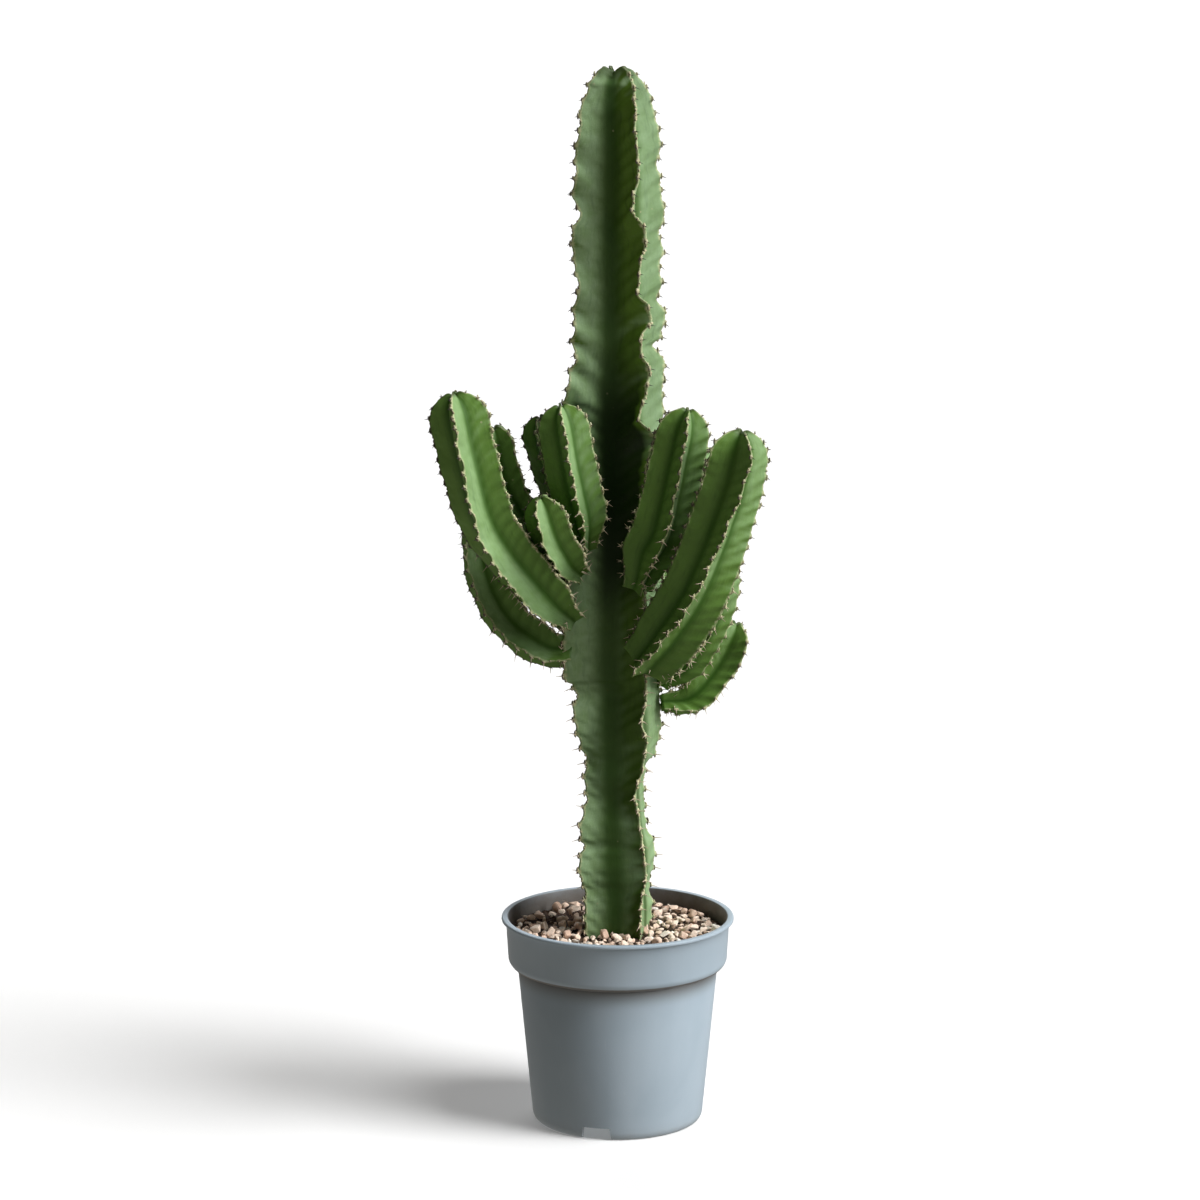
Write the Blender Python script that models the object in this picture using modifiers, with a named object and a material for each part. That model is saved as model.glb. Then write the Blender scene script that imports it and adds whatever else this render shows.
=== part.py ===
"""Potted euphorbia: a ribbed candelabra plant growing in a round nursery pot.

Units are metres and +Z is up. The origin is the centre of the pot's underside, on the
surface that it stands on, and the front of the plant faces -Y. Every length below is
written in millimetres and scaled by MM where a mesh is made.
"""

import math
import random

import bmesh
import bpy
import numpy as np
from mathutils import Matrix, Vector

MM = 0.001
GAP = 0.3  # clearance between pieces that touch

# Pot: one thin moulding with a rolled lip, a collar, a tapered body and a foot ring
POT_HEIGHT = 152.0
LIP_RADIUS = 85.0
LIP_HEIGHT = 2.6
COLLAR_TOP_RADIUS = 81.8
COLLAR_BOTTOM_RADIUS = 80.2
COLLAR_HEIGHT = 30.0
SHOULDER_HEIGHT = 7.0
BODY_TOP_RADIUS = 73.3
BODY_BOTTOM_RADIUS = 62.9
BODY_BOTTOM_HEIGHT = 6.5
FOOT_RADIUS = 59.4
WALL = 1.5
FLOOR_HEIGHT = 10.0  # underside of the raised floor
PAD_RADIUS = 22.0  # flat middle of the floor, which stands on the surface
PAD_SLOPE = 4.0
POT_STEPS = 48

# Drainage: notches through the foot ring, and holes through the raised floor
NOTCH_COUNT = 3
NOTCH_ANGLE = -104.6
NOTCH_WIDTH = 20.0
NOTCH_HEIGHT = 9.2
HOLE_COUNT = 6
HOLE_RADIUS = 4.0
HOLE_CIRCLE = 43.0

# Soil and the pebbles that lie on it
SOIL_TOP = 139.0
SOIL_CROWN = 1.2  # how much higher the soil is at the stem than at the wall
PEBBLE_COUNT = 38
PEBBLE_SIZE = (3.0, 5.0)  # shortest and longest half axis
PEBBLE_RING = (35.0, 73.5)
PEBBLE_SPACING = 11.5
PEBBLE_SEED = 11
BARE_SPOTS = ((59.0, 12.0, 18.0), (-59.0, 12.0, 18.0), (0.0, 58.0, 18.0))  # x, y, radius

# Main stem: its axis as x, y, z, and the outline of each of its four ribs
STEM_AXIS = (
    (1.5, 0.0, 92.0),
    (1.5, 0.0, 150.0),
    (-1.5, 0.0, 260.0),
    (-2.0, 0.0, 350.0),
    (-1.5, 0.0, 480.0),
    (-2.0, 0.0, 600.0),
    (-1.0, 0.0, 700.0),
    (-3.5, 0.0, 768.0),
)
STEM_TURN = ((92.0, 38.0), (768.0, 19.0))  # height, angle of the right-hand rib from +X
RIGHT_RIB = (
    (92, 15), (104, 24), (126, 28), (158, 29), (169, 27), (177, 29.5), (188, 32.5), (199, 32.8),
    (217, 27), (232, 25.3), (246, 24), (259, 27), (271, 36), (293, 40), (306, 40), (322, 38),
    (350, 41), (378, 37), (402, 41), (430, 37), (458, 40), (486, 36), (504, 39), (522, 38),
    (536, 36.5), (558, 38.7), (570, 29), (576, 35), (592, 39), (604, 31.5), (613, 35), (626, 33),
    (638, 36.5), (649, 32.5), (662, 36), (687, 33.3), (700, 29.5), (712, 32.6), (724, 32),
    (734, 29.5), (747, 26.8), (755, 22.5), (764, 15.5), (768, 9),
)
LEFT_RIB = (
    (92, 14), (104, 23), (126, 30), (156, 32.3), (176, 31.4), (184, 34.6), (192, 36), (202, 33.8),
    (208, 30), (215, 33), (223, 33.7), (234, 29.7), (244, 26), (259, 27.7), (271, 25),
    (283, 30.8), (296, 34.8), (310, 37), (320, 33), (328, 36), (332, 43), (352, 44), (380, 42),
    (410, 41), (440, 40), (470, 38), (500, 40), (531, 39.5), (545, 38.5), (563, 31.5), (581, 33),
    (596, 31.5), (612, 29.5), (632, 31), (654, 33.8), (666, 28.2), (678, 32.4), (709, 30.6),
    (735, 26.4), (755, 18.8), (764, 12.5), (768, 8),
)
FRONT_RIB = (
    (92, 15), (104, 23), (126, 28), (150, 30), (200, 31), (240, 27.5), (270, 33), (300, 37),
    (345, 41), (400, 38), (440, 37), (500, 36), (600, 35), (700, 32), (735, 28), (752, 22.5),
    (764, 14), (768, 9),
)
BACK_RIB = (
    (92, 15), (104, 24), (126, 29), (152, 31), (178, 34), (206, 30), (238, 27), (266, 31),
    (300, 37), (330, 40), (362, 42), (396, 39), (430, 41), (466, 37), (505, 38), (548, 35),
    (580, 37), (618, 33), (652, 35), (690, 31), (722, 29), (747, 23), (763, 13), (768, 8),
)
FRONT_WAVE = (  # height, angle from +X: the front rib wanders from side to side
    (92, -55), (150, -60), (165, -59), (188, -50), (209, -53), (232, -54), (247, -61), (256, -59),
    (268, -53), (287, -50), (302, -60), (319, -55), (340, -57), (380, -55), (420, -57), (460, -53),
    (485, -52), (508, -40), (523, -63), (544, -51), (555, -46), (570, -59), (581, -59), (591, -43),
    (602, -48), (610, -63), (633, -60), (645, -51), (656, -52), (668, -70), (679, -69), (691, -62),
    (726, -62), (742, -56), (752, -49), (764, -38), (768, -36),
)
# Height, and radius of the grooves there as a share of the mean crest radius
STEM_TROUGH = ((92.0, 0.66), (260.0, 0.62), (330.0, 0.5), (450.0, 0.42), (768.0, 0.42))
STEM_CREST = 3.4  # half the thickness of a rib near its crest
STEM_RING = 9.0  # height between two rings of the mesh

# Branches: x, y, z of points along each axis from its neck to its tip, then the crest
# radius, the angle of its first rib from +X at the tip, the turn of the ribs down to the
# neck and the share of the radius lost towards the tip
BRANCHES = {
    "branch_left_front": (
        ((-32, -22, 377), (-54, -38, 400), (-89, -56, 447), (-103, -66, 492), (-115, -68, 546)),
        21.8, -3, -31, 0.04,
    ),
    "branch_left_low": (
        ((-33, -17, 353), (-52, -16, 355), (-80, -11, 376), (-96, -6, 409), (-99, -4, 446)),
        18.4, -37, 5, 0.09,
    ),
    "branch_left_small": (
        ((-28, -22, 410), (-38, -38, 423), (-48, -51, 445), (-55, -57, 471)),
        18.0, -20, 6, 0.15,
    ),
    "branch_left_inner": (
        ((-24, -20, 427), (-26, -31, 451), (-34, -37, 491), (-41, -40, 534)),
        19.4, 3, -1, 0.08,
    ),
    "branch_left_shaded": (
        ((-22, 31, 420), (-29, 28, 438), (-45, 18, 477), (-56, 12, 519)),
        17.0, -16, -8, 0.0,
    ),
    "branch_left_back": (
        ((-21, 31, 381), (-45, 26, 404), (-63, 14, 437), (-81, 5, 473), (-89, 1, 513)),
        16.9, -36, 1, 0.05,
    ),
    "branch_right_inner": (
        ((14, -29, 400), (22, -36, 427), (31, -41, 446), (42, -44, 497), (49, -46, 532)),
        22.8, 5, 4, 0.20,
    ),
    "branch_right_front": (
        ((19, -31, 345), (37, -49, 373), (57, -62, 411), (79, -68, 478), (86, -70, 520)),
        23.9, 24, -47, 0.07,
    ),
    "branch_right_mid": (
        ((31, 17, 322), (52, 4, 345), (70, -8, 383), (75, -12, 418)),
        15.0, 28, -45, 0.0,
    ),
    "branch_right_low": (
        ((32, 19, 307), (54, 23, 310), (75, 25, 336), (87, 22, 366)),
        16.7, 54, -25, 0.06,
    ),
    "branch_right_back": (
        ((30, 20, 372), (43, 38, 381), (52, 54, 412), (56, 60, 452), (57, 62, 492)),
        18.0, 20, 0, 0.05,
    ),
    "branch_back_low": (
        ((-19, 32, 352), (-30, 52, 362), (-37, 72, 392), (-39, 80, 434), (-39, 82, 474)),
        19.0, 10, 0, 0.05,
    ),
    "branch_back_high": (
        ((-15, 28, 452), (-10, 44, 463), (-3, 52, 488), (0, 54, 518)),
        15.0, 30, 0, 0.05,
    ),
}
BRANCH_TROUGH = 0.42
BRANCH_CREST = 2.6
BRANCH_NECK = 0.5  # neck radius as a share of the full radius
STOUT_NECKS = {"branch_right_front": 0.85, "branch_left_low": 0.75}
NECK_LENGTH = 1.8  # in crest radii
DOME_LENGTH = 1.0  # in crest radii
TIP_CREST = 0.24  # what is left of the crest radius at the very tip
BRANCH_RINGS = 14

RIBS = 4
RING_POINTS = 16  # crest, flank, groove and flank for each rib


def clear_scene():
    for obj in list(bpy.data.objects):
        bpy.data.objects.remove(obj, do_unlink=True)


def collection(name):
    made = bpy.data.collections.new(name)
    bpy.context.scene.collection.children.link(made)
    return made


def material(name, colour, roughness, metallic=0.0):
    made = bpy.data.materials.new(name)
    made.use_nodes = True
    shader = made.node_tree.nodes["Principled BSDF"]
    shader.inputs["Base Color"].default_value = (*colour, 1.0)
    shader.inputs["Roughness"].default_value = roughness
    shader.inputs["Metallic"].default_value = metallic
    made.diffuse_color = (*colour, 1.0)
    return made


def object_from_bmesh(name, bm, where, finish=None, smooth_angle=40.0):
    mesh = bpy.data.meshes.new(name)
    bmesh.ops.recalc_face_normals(bm, faces=bm.faces)
    bm.to_mesh(mesh)
    bm.free()
    mesh.shade_smooth()
    mesh.set_sharp_from_angle(angle=math.radians(smooth_angle))
    obj = bpy.data.objects.new(name, mesh)
    where.objects.link(obj)
    if finish:
        mesh.materials.append(finish)
    return obj


def hide_helper(obj):
    obj.hide_render = True
    obj.display_type = "WIRE"
    return obj


def cut(obj, cutter):
    modifier = obj.modifiers.new(cutter.name, "BOOLEAN")
    modifier.operation = "DIFFERENCE"
    modifier.solver = "EXACT"
    modifier.object = cutter


def turned(name, profile, where, finish):
    """A closed turned solid from a profile of (radius, height) that ends on the axis twice."""
    bm = bmesh.new()
    points = [bm.verts.new((radius * MM, 0.0, height * MM)) for radius, height in profile]
    for first, second in zip(points, points[1:]):
        bm.edges.new((first, second))
    mesh = bpy.data.meshes.new(name)
    bm.to_mesh(mesh)
    bm.free()
    obj = bpy.data.objects.new(name, mesh)
    where.objects.link(obj)
    mesh.materials.append(finish)
    screw = obj.modifiers.new("turn", "SCREW")
    screw.axis = "Z"
    screw.steps = POT_STEPS
    screw.render_steps = POT_STEPS
    screw.use_merge_vertices = True
    screw.merge_threshold = 0.00001
    screw.use_smooth_shade = True
    return obj


# Pot


def body_radius(height):
    """Outer radius of the tapered body."""
    top = POT_HEIGHT - COLLAR_HEIGHT - SHOULDER_HEIGHT
    share = (height - BODY_BOTTOM_HEIGHT) / (top - BODY_BOTTOM_HEIGHT)
    return BODY_BOTTOM_RADIUS + share * (BODY_TOP_RADIUS - BODY_BOTTOM_RADIUS)


def inner_radius(height):
    """Inner radius of the pot's wall, also inside the collar and shoulder."""
    collar_bottom = POT_HEIGHT - COLLAR_HEIGHT
    shoulder_bottom = collar_bottom - SHOULDER_HEIGHT
    if height >= collar_bottom:
        share = (height - collar_bottom) / COLLAR_HEIGHT
        return COLLAR_BOTTOM_RADIUS + share * (COLLAR_TOP_RADIUS - COLLAR_BOTTOM_RADIUS) - WALL
    if height >= shoulder_bottom:
        share = (height - shoulder_bottom) / SHOULDER_HEIGHT
        return BODY_TOP_RADIUS + share * (COLLAR_BOTTOM_RADIUS - BODY_TOP_RADIUS) - WALL
    return body_radius(height) - WALL


def pot_profile():
    """Half section of the pot, from the middle of its floor, up the inside and down the outside."""
    floor_top = FLOOR_HEIGHT + WALL
    collar_bottom = POT_HEIGHT - COLLAR_HEIGHT
    shoulder_bottom = collar_bottom - SHOULDER_HEIGHT
    inside = [
        (0.0, WALL),
        (PAD_RADIUS - WALL, WALL),
        (PAD_RADIUS + PAD_SLOPE - WALL, floor_top),
        (inner_radius(floor_top), floor_top),
        (inner_radius(shoulder_bottom), shoulder_bottom),
        (inner_radius(collar_bottom), collar_bottom),
        (inner_radius(POT_HEIGHT), POT_HEIGHT - 0.7),
    ]
    lip_middle = POT_HEIGHT - LIP_HEIGHT / 2
    lip = [
        (inner_radius(POT_HEIGHT) + 0.8, POT_HEIGHT),
        (LIP_RADIUS - 0.9, POT_HEIGHT),
        (LIP_RADIUS, lip_middle + 0.5),
        (LIP_RADIUS, lip_middle - 0.5),
        (LIP_RADIUS - 0.9, POT_HEIGHT - LIP_HEIGHT),
        (COLLAR_TOP_RADIUS, POT_HEIGHT - LIP_HEIGHT - 0.6),
    ]
    depth = COLLAR_BOTTOM_RADIUS - BODY_TOP_RADIUS
    shoulder = [
        (
            BODY_TOP_RADIUS + depth * math.cos(turn),
            collar_bottom - SHOULDER_HEIGHT * math.sin(turn),
        )
        for turn in np.linspace(0.0, math.pi / 2, 5)
    ]
    corner = [
        (
            FOOT_RADIUS + (BODY_BOTTOM_RADIUS - FOOT_RADIUS) * math.sin(turn),
            BODY_BOTTOM_HEIGHT * (1 - math.cos(turn)),
        )
        for turn in np.linspace(math.pi / 2, 0.0, 4)
    ]
    ring_inside = FOOT_RADIUS - WALL
    underside = [
        (ring_inside, 0.0),
        (ring_inside, FLOOR_HEIGHT),
        (PAD_RADIUS + PAD_SLOPE, FLOOR_HEIGHT),
        (PAD_RADIUS, 0.0),
        (0.0, 0.0),
    ]
    return inside + lip + shoulder + corner + underside


def add_notch(bm, index):
    """A block with sloping ends, through the foot ring below the floor."""
    made = bmesh.ops.create_cube(bm, size=1.0)
    length = 2.6 * (BODY_BOTTOM_RADIUS - FOOT_RADIUS + WALL)
    turn = Matrix.Rotation(math.radians(NOTCH_ANGLE + index * 360.0 / NOTCH_COUNT), 3, "Z")
    for vert in made["verts"]:
        flare = 1.0 if vert.co.z > 0 else 1.18
        block = Vector((
            vert.co.x * length + FOOT_RADIUS,
            vert.co.y * NOTCH_WIDTH * flare,
            vert.co.z * 2 * NOTCH_HEIGHT,
        ))
        vert.co = turn @ block * MM


def add_drain_hole(bm, index):
    angle = math.radians((index + 0.5) * 360.0 / HOLE_COUNT)
    place = Vector((
        HOLE_CIRCLE * math.cos(angle), HOLE_CIRCLE * math.sin(angle), FLOOR_HEIGHT + WALL / 2,
    ))
    bmesh.ops.create_cone(
        bm, cap_ends=True, segments=12, radius1=HOLE_RADIUS * MM, radius2=HOLE_RADIUS * MM,
        depth=4 * WALL * MM, matrix=Matrix.Translation(place * MM),
    )


def drainage_cutter(where):
    """The notches and the holes, which stand clear of each other, as one cutter."""
    bm = bmesh.new()
    for index in range(NOTCH_COUNT):
        add_notch(bm, index)
    for index in range(HOLE_COUNT):
        add_drain_hole(bm, index)
    return hide_helper(object_from_bmesh("drainage", bm, where))


def make_pot(parts, cutters):
    grey = material("pot_plastic", (0.22, 0.27, 0.31), 0.45)
    pot = turned("pot", pot_profile(), parts, grey)
    cut(pot, drainage_cutter(cutters))


# Ribbed stems


def spaced(table, height):
    """Reads a table of (height, value) with a smooth curve between its points."""
    heights = [row[0] for row in table]
    values = [row[1] for row in table]
    if height <= heights[0]:
        return values[0]
    if height >= heights[-1]:
        return values[-1]
    low = max(i for i, level in enumerate(heights) if level <= height)
    share = (height - heights[low]) / (heights[low + 1] - heights[low])
    eased = share * share * (3 - 2 * share)
    return values[low] + eased * (values[low + 1] - values[low])


def smooth_path(points, count):
    """Count points, evenly spaced, on a Catmull-Rom curve through the given points."""
    known = [Vector(point) for point in points]
    known = [2 * known[0] - known[1], *known, 2 * known[-1] - known[-2]]
    fine = []
    for before, start, end, after in zip(known, known[1:], known[2:], known[3:]):
        for step in range(24):
            t = step / 24
            fine.append(0.5 * (
                2 * start
                + (end - before) * t
                + (2 * before - 5 * start + 4 * end - after) * t * t
                + (3 * start - before - 3 * end + after) * t * t * t
            ))
    fine.append(known[-2])
    lengths = np.cumsum([0.0] + [(b - a).length for a, b in zip(fine, fine[1:])])
    wanted = np.linspace(0.0, lengths[-1], count)
    coordinates = [np.interp(wanted, lengths, [point[axis] for point in fine]) for axis in range(3)]
    return [Vector(point) for point in zip(*coordinates)], float(lengths[-1])


def carried_frames(path):
    """Side and back directions along a path, turned no more than the path itself turns."""
    tangents = []
    for index in range(len(path)):
        ahead = path[min(index + 1, len(path) - 1)]
        behind = path[max(index - 1, 0)]
        tangents.append((ahead - behind).normalized())
    side = Vector((1.0, 0.0, 0.0))
    frames = []
    for tangent in reversed(tangents):
        side = (side - side.dot(tangent) * tangent).normalized()
        frames.append((side, tangent.cross(side)))
    return frames[::-1]


def star_ring(centre, side, back, crests, angles, trough, crest_half):
    """One ring of a ribbed stem: for each rib its crest, a flank point, a groove and a flank."""
    ring = []
    for index in range(RIBS):
        following = (index + 1) % RIBS
        angle = angles[index]
        step = (angles[following] - angle) % (2 * math.pi)
        groove = trough * (crests[index] + crests[following]) / 2
        flank = 0.8 * crests[index]
        next_flank = 0.8 * crests[following]
        lean = math.asin(min(0.9, crest_half / max(flank, 0.1)))
        next_lean = math.asin(min(0.9, crest_half / max(next_flank, 0.1)))
        for radius, turn in (
            (crests[index], angle),
            (flank, angle + min(lean, 0.4 * step)),
            (groove, angle + step / 2),
            (next_flank, angle + step - min(next_lean, 0.4 * step)),
        ):
            ring.append(centre + radius * (math.cos(turn) * side + math.sin(turn) * back))
    return ring


def loft(name, rings, where, finish=None):
    """Joins rings of the same number of points, and closes both ends."""
    bm = bmesh.new()
    rows = [[bm.verts.new(point * MM) for point in ring] for ring in rings]
    for lower, upper in zip(rows, rows[1:]):
        for index in range(RING_POINTS):
            after = (index + 1) % RING_POINTS
            bm.faces.new((lower[index], lower[after], upper[after], upper[index]))
    for row in (rows[0], rows[-1]):
        middle = bm.verts.new(sum((vert.co for vert in row), Vector()) / RING_POINTS)
        for index in range(RING_POINTS):
            bm.faces.new((row[index], row[(index + 1) % RING_POINTS], middle))
    return object_from_bmesh(name, bm, where, finish, 60.0)


def stem_rings(extra):
    """Rings of the main stem, each point pushed out by extra."""
    low = STEM_AXIS[0][2]
    high = STEM_AXIS[-1][2]
    count = round((high - low) / STEM_RING)
    levels = [low + (high - low) * index / count for index in range(count)] + [high - 1.5, high]
    rings = []
    for level in levels:
        centre = Vector((
            spaced([(z, x) for x, _, z in STEM_AXIS], level),
            spaced([(z, y) for _, y, z in STEM_AXIS], level),
            level,
        ))
        turn = math.radians(spaced(STEM_TURN, level))
        angles = (turn, turn + math.pi / 2, turn + math.pi, math.radians(spaced(FRONT_WAVE, level)))
        crests = [spaced(rib, level) + extra for rib in (RIGHT_RIB, BACK_RIB, LEFT_RIB, FRONT_RIB)]
        rings.append(star_ring(
            centre, Vector((1, 0, 0)), Vector((0, 1, 0)), crests, angles,
            spaced(STEM_TROUGH, level) * (1 + 2 * extra / crests[0]), STEM_CREST + extra,
        ))
    return rings


def branch_rings(points, radius, phase, turn, taper, neck_share):
    """Rings of a branch: a narrow neck, a full middle and a blunt dome."""
    _, total = smooth_path(points, 2)
    path, _ = smooth_path(points, BRANCH_RINGS)
    frames = carried_frames(path)
    rings = []
    for index, (centre, (side, back)) in enumerate(zip(path, frames)):
        share = index / (BRANCH_RINGS - 1)
        reach = share * total
        neck = min(1.0, reach / (NECK_LENGTH * radius))
        crest = radius * (1 - taper * share)
        crest *= neck_share + (1 - neck_share) * neck * neck * (3 - 2 * neck)
        dome = max(0.0, (reach - total + DOME_LENGTH * radius) / (DOME_LENGTH * radius))
        crest *= max(TIP_CREST, math.sqrt(max(0.0, 1 - dome ** 2.2)))
        start = math.radians(phase + turn * (1 - share))
        angles = [start + rib * 2 * math.pi / RIBS for rib in range(RIBS)]
        rings.append(star_ring(
            centre, side, back, [crest] * RIBS, angles, BRANCH_TROUGH, BRANCH_CREST,
        ))
    return rings


def make_plant(parts, cutters):
    skin = material("stem_skin", (0.055, 0.14, 0.045), 0.5)
    shoot = material("branch_skin", (0.08, 0.2, 0.055), 0.5)
    loft("main_stem", stem_rings(0.0), parts, skin)
    clearance = hide_helper(loft("stem_clearance", stem_rings(GAP), cutters))
    for name, outline in BRANCHES.items():
        rings = branch_rings(*outline, STOUT_NECKS.get(name, BRANCH_NECK))
        branch = loft(name, rings, parts, shoot)
        cut(branch, clearance)
    return clearance


# Soil and pebbles


def make_soil(parts, clearance):
    """Fills the pot, with a pocket for the foot of the stem."""
    brown = material("potting_soil", (0.07, 0.04, 0.025), 0.95)
    floor_top = FLOOR_HEIGHT + WALL + GAP
    shoulder_bottom = POT_HEIGHT - COLLAR_HEIGHT - SHOULDER_HEIGHT
    collar_bottom = POT_HEIGHT - COLLAR_HEIGHT
    profile = [
        (0.0, SOIL_TOP + SOIL_CROWN),
        (40.0, SOIL_TOP + SOIL_CROWN),
        (inner_radius(SOIL_TOP) - 1.5 * GAP, SOIL_TOP),
        (inner_radius(collar_bottom) - 1.5 * GAP, collar_bottom),
        (inner_radius(shoulder_bottom) - 1.5 * GAP, shoulder_bottom),
        (inner_radius(floor_top) - 1.5 * GAP, floor_top),
        (PAD_RADIUS + PAD_SLOPE - WALL - 1.5 * GAP, floor_top),
        (PAD_RADIUS - WALL - 1.5 * GAP, WALL + GAP),
        (0.0, WALL + GAP),
    ]
    soil = turned("soil", profile, parts, brown)
    cut(soil, clearance)
    return soil


def clear_of_bare_spots(x, y):
    return all(math.hypot(x - sx, y - sy) > reach for sx, sy, reach in BARE_SPOTS)


def clear_of_stem(x, y, reach):
    """Whether a pebble of this reach stays outside the ribs at the foot of the stem."""
    turn = math.radians(spaced(STEM_TURN, SOIL_TOP))
    angles = (turn, turn + math.pi / 2, turn + math.pi, math.radians(spaced(FRONT_WAVE, SOIL_TOP)))
    for angle, rib in zip(angles, (RIGHT_RIB, BACK_RIB, LEFT_RIB, FRONT_RIB)):
        along = x * math.cos(angle) + y * math.sin(angle)
        across = abs(y * math.cos(angle) - x * math.sin(angle))
        if 0 < along < spaced(rib, 150) + reach + 2.5 and across < STEM_CREST + reach + 2.0:
            return False
    return math.hypot(x, y) > reach + 20.0


def pebble_places(rng):
    """Scattered places on the soil, none closer than the spacing to another."""
    places = []
    for _ in range(20000):
        if len(places) == PEBBLE_COUNT:
            break
        angle = rng.uniform(0.0, 2 * math.pi)
        reach = math.sqrt(rng.uniform(24.0 ** 2, PEBBLE_RING[1] ** 2))
        x = reach * math.cos(angle)
        y = reach * math.sin(angle)
        apart = all(math.hypot(x - ox, y - oy) > PEBBLE_SPACING for ox, oy in places)
        if apart and clear_of_bare_spots(x, y) and clear_of_stem(x, y, PEBBLE_SIZE[1]):
            places.append((x, y))
    return places


def make_pebbles(parts):
    beige = material("pebble", (0.62, 0.47, 0.34), 0.8)
    rng = random.Random(PEBBLE_SEED)
    for index, (x, y) in enumerate(pebble_places(rng)):
        half_axes = Vector([rng.uniform(*PEBBLE_SIZE) for _ in range(3)])
        half_axes.z *= 0.85
        spin = Matrix.Rotation(rng.uniform(0.0, 2 * math.pi), 3, "Z")
        tip = Matrix.Rotation(rng.uniform(-0.4, 0.4), 3, "X")
        bm = bmesh.new()
        bmesh.ops.create_icosphere(bm, subdivisions=1, radius=1.0)
        for vert in bm.verts:
            lump = rng.uniform(0.86, 1.04)
            vert.co = spin @ tip @ Vector([c * s * lump for c, s in zip(vert.co, half_axes)])
        lowest = min(vert.co.z for vert in bm.verts)
        under = max(soil_height(x + vert.co.x, y + vert.co.y) for vert in bm.verts)
        for vert in bm.verts:
            vert.co = (vert.co + Vector((x, y, under + GAP - lowest))) * MM
        object_from_bmesh(f"pebble_{index + 1:02d}", bm, parts, beige, 25.0)


def soil_height(x, y):
    """Height of the soil's top at a place."""
    edge = inner_radius(SOIL_TOP)
    reach = math.hypot(x, y)
    if reach <= 40.0:
        return SOIL_TOP + SOIL_CROWN
    return SOIL_TOP + SOIL_CROWN * (edge - reach) / (edge - 40.0)


def main():
    clear_scene()
    parts = collection("potted_euphorbia")
    cutters = collection("cutters")
    make_pot(parts, cutters)
    clearance = make_plant(parts, cutters)
    make_soil(parts, clearance)
    make_pebbles(parts)


main()
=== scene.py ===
"""Looks of the potted euphorbia: its skin, spines, pot, soil and gravel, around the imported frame.

Lengths in the tables are millimetres, and MM turns them into metres where a mesh is made.
+Z is up and the front of the plant faces -Y.
"""

import math
import random

import bmesh
import bpy
import numpy as np
from mathutils import Matrix, Vector, noise


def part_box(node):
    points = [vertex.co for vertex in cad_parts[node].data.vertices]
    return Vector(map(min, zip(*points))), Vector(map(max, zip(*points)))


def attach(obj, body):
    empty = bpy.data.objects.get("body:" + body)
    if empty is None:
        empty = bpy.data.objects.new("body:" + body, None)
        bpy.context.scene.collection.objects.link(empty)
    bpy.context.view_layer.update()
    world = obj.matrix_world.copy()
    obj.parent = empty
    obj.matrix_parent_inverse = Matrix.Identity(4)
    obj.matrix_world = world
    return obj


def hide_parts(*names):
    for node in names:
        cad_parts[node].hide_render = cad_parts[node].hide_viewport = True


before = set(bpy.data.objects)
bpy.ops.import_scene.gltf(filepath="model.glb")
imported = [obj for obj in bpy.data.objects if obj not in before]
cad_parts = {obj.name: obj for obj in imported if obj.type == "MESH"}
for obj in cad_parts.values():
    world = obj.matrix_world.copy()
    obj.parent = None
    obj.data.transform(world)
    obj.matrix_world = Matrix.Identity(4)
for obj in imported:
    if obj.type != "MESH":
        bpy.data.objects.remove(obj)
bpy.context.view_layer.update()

MM = 0.001
FULL_TURN = 2 * math.pi

# Camera and light, as the photograph has them
CAMERA_PLACE = (-0.0129, -2.6, 0.869)
CAMERA_PITCH = 10.51
CAMERA_LENS = 110.0
SUNS = {  # azimuth from +X, height above the floor and size in degrees, then strength
    "key_high": (-22.0, 56.0, 32.0, 2.2),
    "key_low": (-20.0, 23.0, 32.0, 2.3),
    "rear": (97.0, 35.0, 60.0, 0.8),
}
FILL_COLOUR = (1.0, 0.93, 0.84)
FILL_ABOVE = 0.06
FILL_BELOW = 0.4  # light that a white floor throws back
FLOOR_GLOW = 0.12

# Pot
POT_HEIGHT = 152.0
LIP_RADIUS = 85.0
LIP_HEIGHT = 2.6
COLLAR_TOP_RADIUS = 81.8
COLLAR_BOTTOM_RADIUS = 80.2
COLLAR_HEIGHT = 30.0
SHOULDER_HEIGHT = 7.0
CREASE_DEPTH = 0.5
BODY_TOP_RADIUS = 73.3
BODY_BOTTOM_RADIUS = 62.9
BODY_BOTTOM_HEIGHT = 6.5
FOOT_RADIUS = 59.4
WALL = 1.5
FLOOR_HEIGHT = 10.0
PAD_RADIUS = 22.0
PAD_SLOPE = 4.0
COLLAR_SLOPE = (COLLAR_TOP_RADIUS - COLLAR_BOTTOM_RADIUS) / COLLAR_HEIGHT
POT_STEPS = 180
NOTCH_COUNT = 3
NOTCH_ANGLE = -104.6
NOTCH_WIDTH = 20.0
NOTCH_HEIGHT = 9.2
NOTCH_FLARE = 1.18
HOLE_COUNT = 6
HOLE_RADIUS = 4.0
HOLE_CIRCLE = 43.0

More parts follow.
